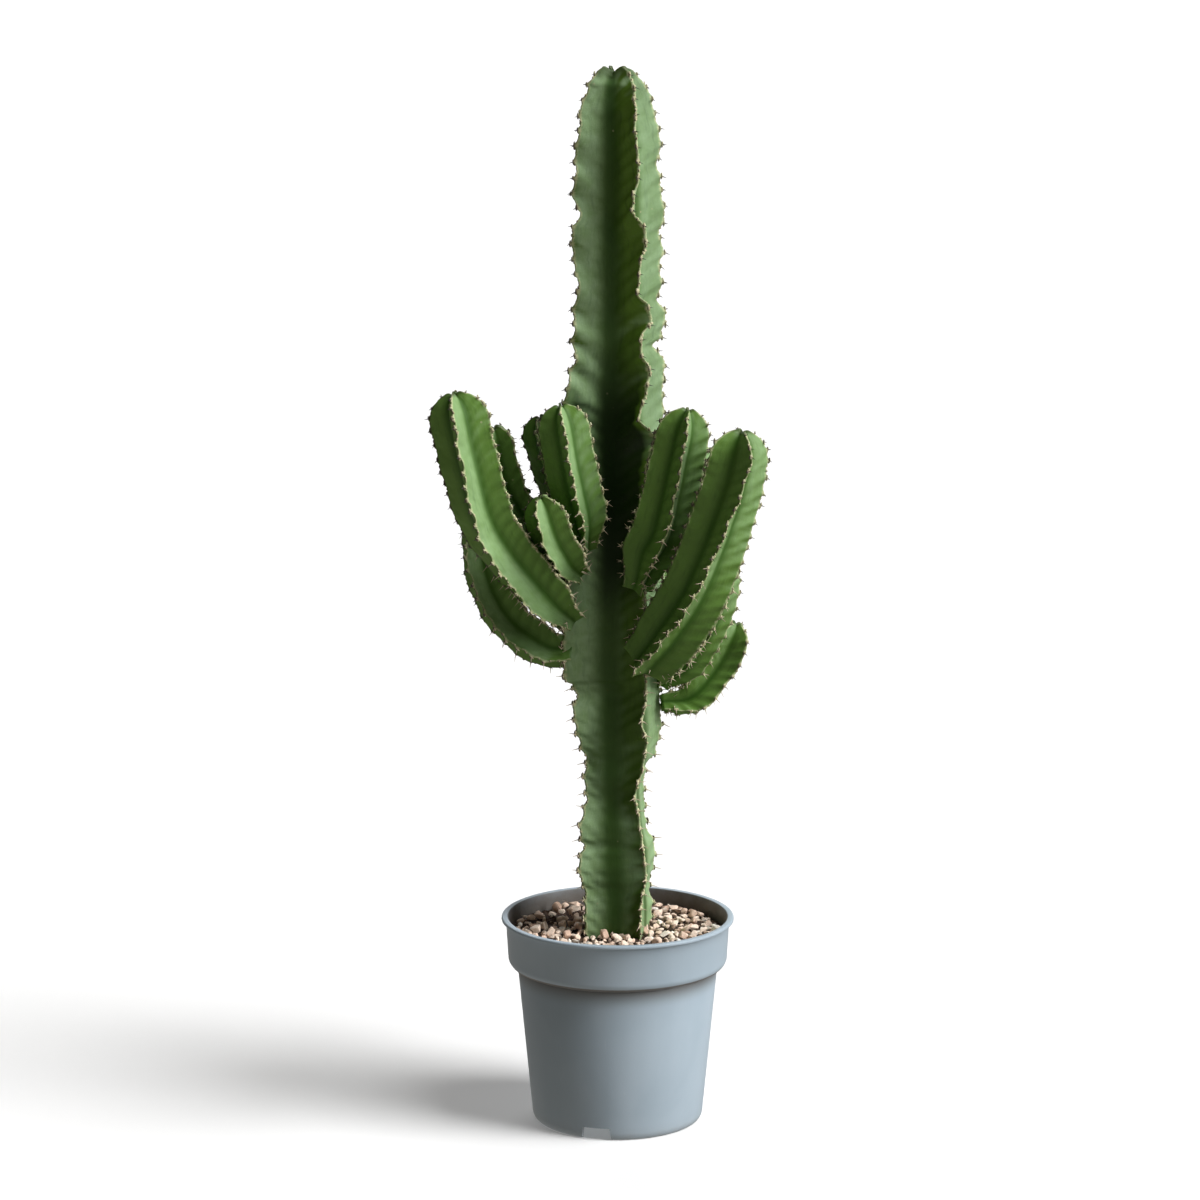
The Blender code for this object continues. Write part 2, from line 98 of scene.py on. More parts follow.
# Soil and gravel
SOIL_TOP = 139.0
SOIL_CROWN = 1.2
SOIL_ROUGHNESS = 1.6
SOIL_SPOKES = 200
SOIL_RINGS = 52
STONE_COUNT = 330
STONE_SIZE = (2.1, 4.5)
STONE_CORNERS = 13
STONE_TILT = 0.7
STONE_CROWDING = 0.78  # how near stones stand, as a share of their sizes together
CRUMB_COUNT = 700
CRUMB_SIZE = (0.5, 1.5)
CRUMB_CORNERS = 9
CRUMB_CROWDING = 0.5
CLODS = (  # x, y, radius of the lumps of bare soil
    (34.0, -46.0, 8.5), (44.0, -30.0, 6.0), (-46.0, 30.0, 9.0), (-30.0, 44.0, 8.0), (-58.0, 10.0, 7.0),
    (60.0, 22.0, 7.0), (16.0, -60.0, 5.0), (-4.0, 56.0, 8.0),
)
SPARSE_SIDE = (-34.0, 34.0, 34.0)  # x, y, radius of the darker patch with few stones
GRAVEL_SEED = 23

# Main stem: axis, and the outline of each of its four ribs
STEM_AXIS = (  # height, x
    (92, 1.5), (150, 1.5), (260, -1.5), (350, -2.0), (480, -1.5), (600, -2.0), (700, -1.0), (768, -3.5),
)
STEM_TURN = ((92.0, 38.0), (768.0, 19.0))  # height, angle of the right-hand rib from +X
RIGHT_RIB = (  # height, crest radius
    (92, 15), (104, 24), (126, 28), (158, 29), (169, 27), (177, 29.5), (188, 32.5), (199, 32.8),
    (217, 27), (232, 25.3), (246, 24), (259, 27), (271, 36), (293, 40), (306, 40), (322, 38),
    (350, 41), (378, 37), (402, 41), (430, 37), (458, 40), (486, 36), (504, 39), (522, 38),
    (536, 36.5), (558, 38.7), (570, 29), (576, 35), (592, 39), (604, 31.5), (613, 35), (626, 33),
    (638, 36.5), (649, 32.5), (662, 36), (687, 33.3), (700, 29.5), (712, 32.6), (724, 32),
    (734, 29.5), (747, 26.8), (755, 22.5), (764, 15.5), (768, 9),
)
LEFT_RIB = (
    (92, 14), (104, 23), (126, 30), (156, 32.3), (176, 31.4), (184, 34.6), (192, 36), (202, 33.8),
    (208, 30), (215, 33), (223, 33.7), (234, 29.7), (244, 26), (259, 27.7), (271, 25),
    (283, 30.8), (296, 34.8), (310, 37), (320, 33), (328, 36), (332, 43), (352, 44), (380, 42),
    (410, 41), (440, 40), (470, 38), (500, 40), (531, 39.5), (545, 38.5), (563, 31.5), (581, 33),
    (596, 31.5), (612, 29.5), (632, 31), (654, 33.8), (666, 28.2), (678, 32.4), (709, 30.6),
    (735, 26.4), (755, 18.8), (764, 12.5), (768, 8),
)
FRONT_RIB = (
    (92, 15), (104, 23), (126, 28), (150, 30), (200, 31), (240, 27.5), (270, 33), (300, 37),
    (345, 41), (400, 38), (440, 37), (500, 36), (600, 35), (700, 32), (735, 28), (752, 22.5),
    (764, 14), (768, 9),
)
BACK_RIB = (
    (92, 15), (104, 24), (126, 29), (152, 31), (178, 34), (206, 30), (238, 27), (266, 31),
    (300, 37), (330, 40), (362, 42), (396, 39), (430, 41), (466, 37), (505, 38), (548, 35),
    (580, 37), (618, 33), (652, 35), (690, 31), (722, 29), (747, 23), (763, 13), (768, 8),
)
STEM_RIBS = (RIGHT_RIB, BACK_RIB, LEFT_RIB, FRONT_RIB)
FRONT_WAVE = (  # height, angle from +X: the front rib wanders from side to side
    (92, -55), (150, -60), (165, -59), (188, -50), (209, -53), (232, -54), (247, -61), (256, -59),
    (268, -53), (287, -50), (302, -60), (319, -55), (340, -57), (380, -55), (420, -57), (460, -53),
    (485, -52), (508, -40), (523, -63), (544, -51), (555, -46), (570, -59), (581, -59), (591, -43),
    (602, -48), (610, -63), (633, -60), (645, -51), (656, -52), (668, -70), (679, -69), (691, -62),
    (726, -62), (742, -56), (752, -49), (764, -38), (768, -36),
)
FRONT_MEAN = ((92, -55), (250, -55), (420, -55), (600, -54), (680, -61), (735, -60), (768, -40))
LEFT_WAVE = (  # height, degrees by which the left rib leans to the front
    (92, 0), (170, 2), (200, -3), (230, 2), (262, -2), (300, 2), (340, -2), (390, 3), (440, -2),
    (490, 3), (530, -3), (547, 5), (556, -3), (564, 5), (574, -4), (585, 6), (597, -4), (613, 6),
    (637, -5), (662, 5), (680, -4), (693, 4), (705, -3), (723, 4), (745, -2), (768, 0),
)
LEFT_SWAY = (  # height, how strongly that lean shows
    (92, 0.2), (320, 0.4), (430, 1.0), (600, 1.1), (768, 1.1),
)
STEM_TROUGH = (  # height, radius of the grooves as a share of the crest radius
    (92, 0.66), (260, 0.62), (330, 0.5), (450, 0.42), (768, 0.42),
)
RIGHT_WANDER = (3.0, 42.0)  # degrees and pitch of the sideways wander of a rib
BACK_WANDER = (4.5, 38.0)
STEM_FOOT = 96.0
STEM_BODY = (132.0, 752.0)  # heights between which the rings are close
STEM_TOP = 768.0
STEM_TIP_RINGS = 15
BURIED_STEP = 6.0
STEM_MARGIN = 1.1  # half the thickness of the rib's edge
STEM_LEAN = 0.7  # how straight a flank runs to its groove: 1 is straight, less is hollow
STEM_STEP = 1.6  # height between two rings
STEM_TEETH = 11.3  # height between two pairs of spines

# Branches: x, y, z of points along each axis from its neck to its tip, then the crest
# radius, the angle of its first rib from +X at the tip, the turn of the ribs down to the
# neck and the share of the radius lost towards the tip
BRANCHES = {
    "branch_left_front": (
        ((-32, -22, 377), (-54, -38, 400), (-89, -56, 447), (-103, -66, 492), (-115, -68, 546)),
        21.8, -3, -31, 0.04,
    ),
    "branch_left_low": (
        ((-33, -17, 353), (-52, -16, 355), (-80, -11, 376), (-96, -6, 409), (-99, -4, 446)),
        18.4, -37, 5, 0.09,
    ),
    "branch_left_small": (
        ((-28, -22, 410), (-38, -38, 423), (-48, -51, 445), (-55, -57, 471)),
        18.0, -20, 6, 0.15,
    ),
    "branch_left_inner": (
        ((-24, -20, 427), (-26, -31, 451), (-34, -37, 491), (-41, -40, 534)),
        19.4, 3, -1, 0.08,
    ),
    "branch_left_shaded": (
        ((-22, 31, 420), (-29, 28, 438), (-45, 18, 477), (-56, 12, 519)),
        17.0, -16, -8, 0.0,
    ),
    "branch_left_back": (
        ((-21, 31, 381), (-45, 26, 404), (-63, 14, 437), (-81, 5, 473), (-89, 1, 513)),
        16.9, -36, 1, 0.05,
    ),
    "branch_right_inner": (
        ((14, -29, 400), (22, -36, 427), (31, -41, 446), (42, -44, 497), (49, -46, 532)),
        22.8, 5, 4, 0.20,
    ),
    "branch_right_front": (
        ((19, -31, 345), (37, -49, 373), (57, -62, 411), (79, -68, 478), (86, -70, 520)),
        23.9, 24, -47, 0.07,
    ),
    "branch_right_mid": (
        ((31, 17, 322), (52, 4, 345), (70, -8, 383), (75, -12, 418)),
        15.0, 28, -45, 0.0,
    ),
    "branch_right_low": (
        ((32, 19, 307), (54, 23, 310), (75, 25, 336), (87, 22, 366)),
        16.7, 54, -25, 0.06,
    ),
    "branch_right_back": (
        ((30, 20, 372), (43, 38, 381), (52, 54, 412), (56, 60, 452), (57, 62, 492)),
        18.0, 20, 0, 0.05,
    ),
    "branch_back_low": (
        ((-19, 32, 352), (-30, 52, 362), (-37, 72, 392), (-39, 80, 434), (-39, 82, 474)),
        19.0, 10, 0, 0.05,
    ),
    "branch_back_high": (
        ((-15, 28, 452), (-10, 44, 463), (-3, 52, 488), (0, 54, 518)),
        15.0, 30, 0, 0.05,
    ),
}
BRANCH_TROUGH = 0.42
BRANCH_MARGIN = 0.8
BRANCH_LEAN = 0.85
BRANCH_NECK = 0.5
STOUT_NECKS = {"branch_right_front": 0.85, "branch_left_low": 0.75}
NECK_LENGTH = 1.8
DOME_LENGTH = 1.0
TIP_CREST = 0.24  # what is left of the crest radius at the very tip
BRANCH_STEP = 1.5
DOME_RINGS = 14
DOME_POWER = 2.2  # 2 is a round dome, more is blunter
CURVE_STEPS = 24  # pieces of the axis curve between two of its points
BRANCH_WANDER = (3.2, 30.0)
BRANCH_UNEVENNESS = (0.02, 30.0)  # share of the crest radius, and pitch
BRANCH_TEETH = 9.6

# Surface of a rib
RIBS = 4
FLANK_STEPS = 10
CAP = ((0.0, 0.0), (0.3, 0.62), (1.0, 0.95))  # round edge: depth and half thickness, in margins
CAP_SHARE = 0.02  # how much of the way from crest to groove the round edge counts for
LAG = 0.85  # how far down a fold runs for each millimetre in from the crest
SWELL = 0.9  # how far the flank bulges below a tooth
SWELL_WIDTH = 3.6
SWELL_LEVEL = 0.45  # how much of a bulge is taken off between two teeth
TOOTH_HEIGHT = 1.3
TOOTH_WIDTH = 1.9
TOOTH_LEAN = 1.4  # how far a tooth leans to one side of its crest
NICK_DEPTH = 0.28  # small nicks that roughen the crest between its teeth
NICK_PITCH = 3.6
STEM_DIP = 4.5  # how far the crown sinks between the tops of the ribs
BRANCH_DIP = 1.6
CROWN_LENGTH = 16.0  # how far below the tip the crown starts to sink
CROWN_RINGS = ((0.62, 1.0), (0.3, 2.4))  # share of the last ring's size, and how far below it
CROWN_BOTTOM = 3.2
STEM_HOLLOW = 0.3  # roundness of a groove, as a share of the crest radius
BRANCH_HOLLOW = 0.12
SKIN_GLOSS = 0.16
STEM_PAINTED_LIGHT_SIDE = (0.7, -0.63, 0.33)  # the side towards the light, painted palest: wax bloom with a painted highlight
BRANCH_PAINTED_LIGHT_SIDE = (0.9, -0.29, 0.33)
SHADED_PART = (0.36, 0.42, 0.52, 0.585)  # heights, in metres, where the branches keep the stem dark
SHADED_EDGE = (0.93, 0.75)  # where that dark starts, from 1 on a crest to 0 in a groove

# Spines
SPINE_LENGTH = (2.6, 4.2)
OLD_SPINE_GROWTH = 0.6
SPINE_RADIUS = 0.52
SPINE_SIDES = 5
SPINE_SECTIONS = ((0.0, 1.0), (0.28, 0.62), (0.68, 0.34))  # share of the length, and of the radius
SPINE_SPREAD = (36, 68)  # degrees from straight out
SPINE_TILT = (-0.55, 0.15)
OLD_AGE = (0.42, 0.2)  # age at which spines turn pale, and how long that takes
UPRIGHT_LENGTH = 9.0  # how far below the tip the spines start to point upwards
SHIELD_SIDES = 9
SHIELD_SECTIONS = ((0.5, 0.85), (0.9, 0.3), (1.0, -0.6))  # radius and height, as shares of the size
SHIELD_SIZE = (2.2, 1.4, 0.6)  # along the crest, across it and out from it
BEAD_SIZE = (1.2, 1.0, 0.6)
BEAD_PITCH = 3.1
BEAD_GAPS = 0.45  # share of the beads left out
TUFT_SPINES = 12
TUFT_LIMITS = ((3.5, 7.0), (0.35, 0.7), (0.8, 1.0))  # length, radius and age of a spine in a dry tuft
STEM_SEED = 5
BRANCH_SEED = 40


# Meshes


def sampled(table, heights):
    """Reads a table of (height, value) at many heights, with a smooth curve between its points."""
    known = np.array(table, float)
    heights = np.clip(heights, known[0, 0], known[-1, 0])
    low = np.clip(np.searchsorted(known[:, 0], heights, side="right") - 1, 0, len(known) - 2)
    start = known[low]
    end = known[low + 1]
    share = (heights - start[:, 0]) / (end[:, 0] - start[:, 0])
    eased = share * share * (3 - 2 * share)
    return start[:, 1] + eased * (end[:, 1] - start[:, 1])


def eased_step(value, low, high):
    share = np.clip((value - low) / (high - low), 0.0, 1.0)
    return share * share * (3 - 2 * share)


def bands(first, count, rows, down=False):
    """Faces between neighbouring closed rings of points, which run up the piece or down it."""
    faces = []
    for low in range(first, first + rows * count, count):
        for step in range(count):
            after = (step + 1) % count
            face = (low + step, low + after, low + count + after, low + count + step)
            faces.append((face[0], *face[:0:-1]) if down else face)
    return faces


def mesh_piece(name, points, faces, finish, layers, smooth=True):
    """A mesh object from points in millimetres, with one named number layer per entry."""
    mesh = bpy.data.meshes.new(name)
    mesh.from_pydata((np.asarray(points) * MM).tolist(), [], [tuple(face) for face in faces])
    for layer, values in layers.items():
        made = mesh.attributes.new(layer, "FLOAT", "POINT")
        made.data.foreach_set("value", np.asarray(values, np.float32))
    if smooth:
        mesh.shade_smooth()
    mesh.materials.append(finish)
    mesh.validate()
    piece = bpy.data.objects.new(name, mesh)
    bpy.context.scene.collection.objects.link(piece)
    return piece


def settle(piece, slot, *nodes):
    """Fastens a finished piece to the object, in place of the CAD nodes it stands for."""
    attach(piece, "root")
    if nodes:
        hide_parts(*nodes)
    return piece


class Heap:
    """Gathers many small shapes, each with its own layer values, for one mesh."""

    def __init__(self, *layers):
        self.points = []
        self.faces = []
        self.layers = {layer: [] for layer in layers}
        self.size = 0

    def add(self, points, faces, **values):
        self.points.append(points)
        self.faces.extend(tuple(corner + self.size for corner in face) for face in faces)
        for layer, kept in self.layers.items():
            kept.append(np.broadcast_to(values[layer], len(points)))
        self.size += len(points)

    def piece(self, name, finish, smooth=True):
        layers = {layer: np.concatenate(kept) for layer, kept in self.layers.items()}
        return mesh_piece(name, np.concatenate(self.points), self.faces, finish, layers, smooth)


# Ribbed shoots


class Shoot:
    """A ribbed stem or branch, as rings from its foot to its tip.

    along is how far each ring is from the foot. Each ring has a centre, the directions
    ahead, side and back, and for each rib a crest radius, an angle and a sway.
    """

    def __init__(self, along, centres, ahead, side, crests, angles, sways, trough, hollow, dip):
        self.along = along
        self.centres = centres
        self.ahead = ahead
        self.side = side
        self.back = np.cross(ahead, side)
        self.crests = crests
        self.angles = angles
        self.sways = sways
        self.trough = trough
        self.hollow = hollow
        self.length = along[-1]
        self.dip = dip * eased_step(along, self.length - CROWN_LENGTH, self.length)

    def direction(self, angle):
        """Unit vectors across each ring, at an angle from its side direction."""
        return np.cos(angle)[:, None] * self.side + np.sin(angle)[:, None] * self.back


def path_at(points, places):
    """Points at the given distances along a Catmull-Rom curve, and its whole length."""
    known = [Vector(point) for point in points]
    known = [2 * known[0] - known[1], *known, 2 * known[-1] - known[-2]]
    fine = []
    for before, start, end, after in zip(known, known[1:], known[2:], known[3:]):
        for step in range(CURVE_STEPS):
            t = step / CURVE_STEPS
            fine.append(0.5 * (
                2 * start
                + (end - before) * t
                + (2 * before - 5 * start + 4 * end - after) * t * t
                + (3 * start - before - 3 * end + after) * t * t * t
            ))
    fine.append(known[-2])
    lengths = np.cumsum([0.0] + [(b - a).length for a, b in zip(fine, fine[1:])])
    fine = np.array(fine)
    places = np.array(places, float)
    return np.stack([np.interp(places, lengths, fine[:, axis]) for axis in range(3)], axis=1), lengths[-1]


def unit(vectors):
    return vectors / np.linalg.norm(vectors, axis=-1, keepdims=True)


def carried_sides(centres, ahead):
    """Side directions along a path, turned no more than the path itself turns."""
    side = np.array((1.0, 0.0, 0.0))
    sides = np.zeros_like(centres)
    for index in range(len(centres) - 1, -1, -1):
        side = unit(side - side.dot(ahead[index]) * ahead[index])
        sides[index] = side
    return sides


def wander(rng, along, amplitude, pitch):
    """A smooth irregular wave along a rib."""
    knots = np.arange(-pitch, along[-1] + 3 * pitch, pitch / 2)
    signs = np.array([(-1) ** index for index in range(len(knots))])
    heights = signs * amplitude * np.array([rng.uniform(0.3, 1.0) for _ in knots])
    knots = knots + np.array([rng.uniform(-0.12, 0.12) * pitch for _ in knots])
    return sampled(list(zip(knots, heights)), along)


def stem_shoot(rng):
    """The main stem, from below the soil to its tip."""
    buried = np.arange(STEM_FOOT, STEM_BODY[0], BURIED_STEP)
    body = np.arange(*STEM_BODY, STEM_STEP)
    tip = np.linspace(STEM_BODY[1], STEM_TOP, STEM_TIP_RINGS)
    height = np.concatenate([buried, body, tip])
    centres = np.stack([sampled(STEM_AXIS, height), np.zeros_like(height), height], axis=1)
    ahead = np.tile((0.0, 0.0, 1.0), (len(height), 1))
    side = np.tile((1.0, 0.0, 0.0), (len(height), 1))
    crests = np.stack([sampled(rib, height) for rib in STEM_RIBS], axis=1)
    turn = sampled(STEM_TURN, height)
    front = sampled(FRONT_MEAN, height)
    angles = np.radians(np.stack([turn, turn + 90.0, turn + 180.0, front], axis=1))
    along = height - height[0]
    sways = np.radians(np.stack([
        wander(rng, along, *RIGHT_WANDER),
        wander(rng, along, *BACK_WANDER),
        sampled(LEFT_SWAY, height) * sampled(LEFT_WAVE, height),
        sampled(FRONT_WAVE, height) - front,
    ], axis=1))
    trough = sampled(STEM_TROUGH, height)
    return Shoot(along, centres, ahead, side, crests, angles, sways, trough, STEM_HOLLOW, STEM_DIP)


def branch_shoot(rng, points, radius, phase, turn, taper, neck_share):
    """A branch: a narrow neck, a full middle and a blunt dome."""
    _, total = path_at(points, [0.0])
    dome_start = total - DOME_LENGTH * radius
    body = np.arange(0.0, dome_start, BRANCH_STEP)
    along = np.concatenate([body, np.linspace(dome_start, total, DOME_RINGS)])
    centres, _ = path_at(points, along)
    ahead = unit(np.gradient(centres, along, axis=0))
    side = carried_sides(centres, ahead)
    share = along / total
    neck = np.minimum(1.0, along / (NECK_LENGTH * radius))
    crest = radius * (1 - taper * share)
    crest *= neck_share + (1 - neck_share) * neck * neck * (3 - 2 * neck)
    dome = np.clip((along - dome_start) / (DOME_LENGTH * radius), 0.0, 1.0)
    crest *= np.maximum(TIP_CREST, np.sqrt(1 - dome ** DOME_POWER))
    start = np.radians(phase + turn * (1 - share))
    angles = np.stack([start + rib * FULL_TURN / RIBS for rib in range(RIBS)], axis=1)
    crests = np.stack([crest * (1 + wander(rng, along, *BRANCH_UNEVENNESS)) for _ in range(RIBS)], axis=1)
    sways = np.radians(np.stack([wander(rng, along, *BRANCH_WANDER) for _ in range(RIBS)], axis=1))
    trough = np.full(len(along), BRANCH_TROUGH)
    return Shoot(along, centres, ahead, side, crests, angles, sways, trough, BRANCH_HOLLOW, BRANCH_DIP)


def tooth_places(rng, shoot, pitch, start):
    """Distances along each rib where a pair of spines stands, closer together at the tip."""
    ribs = []
    for _ in range(RIBS):
        places = []
        place = start + rng.uniform(0.0, pitch)
        while place < shoot.length - 1.0:
            places.append(place)
            crowd = 0.45 + 0.55 * min(1.0, (shoot.length - place) / (3.0 * pitch))
            place += pitch * crowd * rng.uniform(0.82, 1.18)
        ribs.append(np.array(places))
    return ribs


def tooth_bumps(shoot, teeth, width):
    """How strongly each ring of each rib is part of a tooth, from 0 to 1."""
    away = [np.abs(shoot.along[:, None] - places[None, :]).min(axis=1) for places in teeth]
    return np.stack([np.exp(-(distance / width) ** 2) for distance in away], axis=1)


def flank(shoot, rib, way, margin, straightness, swell):
    """Columns of points from a crest down one side of its rib to the groove."""
    other = (rib + way) % RIBS
    half = ((shoot.angles[:, other] - shoot.angles[:, rib]) * way % FULL_TURN) / 2
    crest = shoot.crests[:, rib]
    groove = shoot.trough * (shoot.base_crests[:, rib] + shoot.base_crests[:, other]) / 2
    depth = crest - groove
    thickness = np.minimum(margin, 0.3 * crest)
    start = np.stack([crest - CAP[-1][0] * thickness, CAP[-1][1] * thickness], axis=1)
    end = groove[:, None] * np.stack([np.cos(half), np.sin(half)], axis=1)
    lean = straightness * np.arctan2(end[:, 1] - start[:, 1], start[:, 0] - end[:, 0])
    after_start = start + 0.5 * depth[:, None] * np.stack([-np.cos(lean), np.sin(lean)], axis=1)
    before_end = end + shoot.hollow * crest[:, None] * np.stack([np.sin(half), -np.cos(half)], axis=1)
    columns = []
    for inward, across in CAP:
        rounded = np.stack([crest - inward * thickness, across * thickness], axis=1)
        columns.append((rounded, CAP_SHARE * inward))
    for step in range(1, FLANK_STEPS + 1):
        t = step / FLANK_STEPS
        curve = (
            (1 - t) ** 3 * start + 3 * (1 - t) ** 2 * t * after_start
            + 3 * (1 - t) * t ** 2 * before_end + t ** 3 * end
        )
        columns.append((curve, CAP_SHARE + (1 - CAP_SHARE) * t))
    made = []
    for place, share in columns:
        lagged = shoot.along + LAG * share * depth
        hold = (1 - share) ** 1.2
        angle = shoot.angles[:, rib] + hold * np.interp(lagged, shoot.along, shoot.sways[:, rib])
        wave = math.sin(math.pi * min(1.0, share * 1.15))
        fold = np.interp(lagged, shoot.along, swell[:, rib]) * SWELL * wave
        across = way * (place[:, 1] + fold * np.clip(depth / 12.0, 0.2, 1.0))
        point = shoot.centres + place[:, :1] * shoot.direction(angle)
        point += across[:, None] * shoot.direction(angle + math.pi / 2)
        point -= (shoot.dip * share ** 1.5)[:, None] * shoot.ahead
        made.append((point, 1.0 - share))
    return made


def skin_piece(name, rng, shoot, teeth, margin, straightness, finish, slot, node):
    """The fine skin of a shoot, with a tooth below every pair of spines and a sunken crown."""
    bumps = tooth_bumps(shoot, teeth, TOOTH_WIDTH)
    swell = tooth_bumps(shoot, teeth, SWELL_WIDTH) - SWELL_LEVEL
    shoot.base_crests = shoot.crests
    lift = TOOTH_HEIGHT * np.clip(shoot.crests / 18.0, 0.3, 1.0)
    nicks = np.stack([wander(rng, shoot.along, NICK_DEPTH, NICK_PITCH) for _ in range(RIBS)], axis=1)
    shoot.crests = shoot.crests + lift * bumps + nicks
    shoot.sways = shoot.sways - TOOTH_LEAN * (bumps - 0.3) / np.maximum(shoot.crests, 8.0)
    columns = []
    for rib in range(RIBS):
        rising = flank(shoot, rib, 1, margin, straightness, swell)
        falling = flank(shoot, (rib + 1) % RIBS, -1, margin, straightness, swell)
        for step, (point, edge) in enumerate(rising):
            columns.append((point, edge, rib + step / (2 * len(rising)), bumps[:, rib]))
        for step, (point, edge) in reversed(list(enumerate(falling))[1:-1]):
            around = rib + 1 - step / (2 * len(falling))
            columns.append((point, edge, around, bumps[:, (rib + 1) % RIBS]))
    rings = len(shoot.along)
    count = len(columns)
    grid = np.stack([column[0] for column in columns], axis=1)
    crown = [grid[-1]]
    middle = grid[-1].mean(axis=0)
    for inward, drop in CROWN_RINGS:
        crown.append(middle + inward * (grid[-1] - middle) - drop * shoot.ahead[-1])
    bottom = middle - CROWN_BOTTOM * shoot.ahead[-1]
    points = np.concatenate([grid.reshape(-1, 3), *crown[1:], [bottom]])
    rows = rings + len(crown) - 1
    faces = bands(0, count, rows - 1)
    last = (rows - 1) * count
    faces.extend((last + column, last + (column + 1) % count, rows * count) for column in range(count))
    faces.append(tuple(range(count - 1, -1, -1)))
    per_ring = {
        "edge": np.array([column[1] for column in columns]),
        "around": np.array([column[2] for column in columns]),
    }
    layers = {layer: np.append(np.tile(values, rows), 0.0) for layer, values in per_ring.items()}
    along = np.concatenate([shoot.along, [shoot.length] * (len(crown) - 1)])
    along = np.append(np.repeat(along, count), shoot.length)
    layers["along"] = along * MM
    layers["youth"] = along / shoot.length
    tooth = np.stack([column[3] for column in columns], axis=1).reshape(-1)
    layers["tooth"] = np.append(np.concatenate([tooth, np.tile(tooth[-count:], len(crown) - 1)]), 0.0)
    piece = mesh_piece(name, points, faces, finish, layers)
    return settle(piece, slot, node)


# Spines


def add_spike(heap, base, direction, bend, length, radius, old):
    """A tapered, slightly bent spine."""
    direction = unit(direction)
    across = unit(np.cross(direction, (0.31, 0.52, 0.79)))
    other = np.cross(direction, across)
    turns = np.arange(SPINE_SIDES) * FULL_TURN / SPINE_SIDES
    points = []
    tips = []
    for share, width in SPINE_SECTIONS:
        centre = base + direction * length * share + bend * length * share * share
        for turn in turns:
            points.append(centre + radius * width * (math.cos(turn) * across + math.sin(turn) * other))
            tips.append(share)
    points.append(base + direction * length + bend * length)
    tips.append(1.0)
    faces = bands(0, SPINE_SIDES, 2)
    tip = 3 * SPINE_SIDES
    for corner in range(SPINE_SIDES):
        faces.append((2 * SPINE_SIDES + corner, 2 * SPINE_SIDES + (corner + 1) % SPINE_SIDES, tip))
    faces.append(tuple(range(SPINE_SIDES - 1, -1, -1)))
    heap.add(np.array(points), faces, tip=np.array(tips), shield=0.0, old=old)


def add_shield(heap, rng, centre, out, ahead, across, size, old):
    """A horny pad with an uneven outline, such as a pair of spines grows from."""
    outline = [rng.uniform(0.72, 1.15) for _ in range(SHIELD_SIDES)]
    points = [centre + out * size[2]]
    for radius, height in SHIELD_SECTIONS:
        for step in range(SHIELD_SIDES):
            turn = step * FULL_TURN / SHIELD_SIDES
            reach = radius * outline[step]
            points.append(
                centre + reach * math.cos(turn) * size[0] * ahead
                + reach * math.sin(turn) * size[1] * across + height * size[2] * out
            )
    faces = [(0, 1 + step, 1 + (step + 1) % SHIELD_SIDES) for step in range(SHIELD_SIDES)]
    faces.extend(bands(1, SHIELD_SIDES, 2, down=True))
    heap.add(np.array(points), faces, tip=0.0, shield=1.0, old=old)


def crest_frame(shoot, rib, place):
    """The point on a crest at a distance along it, with the directions out, ahead and across."""
    ring = int(np.abs(shoot.along - place).argmin())
    angle = shoot.angles[ring, rib] + shoot.sways[ring, rib]
    out = math.cos(angle) * shoot.side[ring] + math.sin(angle) * shoot.back[ring]
    ahead = shoot.ahead[ring]
    point = shoot.centres[ring] + shoot.crests[ring, rib] * out
    crown = max(0.0, 1 - (shoot.length - place) / UPRIGHT_LENGTH)
    out = unit(out * (1 - 0.6 * crown) + ahead * crown)
    return point, out, ahead, np.cross(ahead, out), crown


def add_areoles(heap, rng, shoot, teeth, scale):
    """A shield and a spread pair of spines on every tooth, and small beads between the teeth."""
    for rib in range(RIBS):
        for place in teeth[rib]:
            point, out, ahead, across, crown = crest_frame(shoot, rib, place)
            age = 1 - place / shoot.length
            old = min(1.0, max(0.0, (age - OLD_AGE[0]) / OLD_AGE[1] + rng.uniform(-0.35, 0.35)))
            size = [side * scale * rng.uniform(0.75, 1.2) for side in SHIELD_SIZE]
            add_shield(heap, rng, point - 0.2 * out, out, ahead, across, size, old)
            for way in (-1, 1):
                spread = math.radians(rng.uniform(*SPINE_SPREAD))
                tilt = rng.uniform(*SPINE_TILT)
                direction = out * math.cos(spread) + way * across * math.sin(spread) + tilt * ahead
                bend = ahead * rng.uniform(-0.15, 0.05) + out * 0.1
                length = rng.uniform(*SPINE_LENGTH) * scale * (1 - 0.35 * crown)
                length *= 1 + OLD_SPINE_GROWTH * old
                add_spike(heap, point - 0.3 * out, direction, bend, length, SPINE_RADIUS * scale, old)
        for place in np.arange(6.0, shoot.length - 4.0, BEAD_PITCH):
            if rng.random() < BEAD_GAPS:
                continue
            point, out, ahead, across, _ = crest_frame(shoot, rib, place + rng.uniform(-1.0, 1.0))
            size = [side * scale * rng.uniform(0.6, 1.3) for side in BEAD_SIZE]
            sideways = across * rng.uniform(-0.5, 0.5)
            add_shield(heap, rng, point - 0.15 * out + sideways, out, ahead, across, size, rng.random())


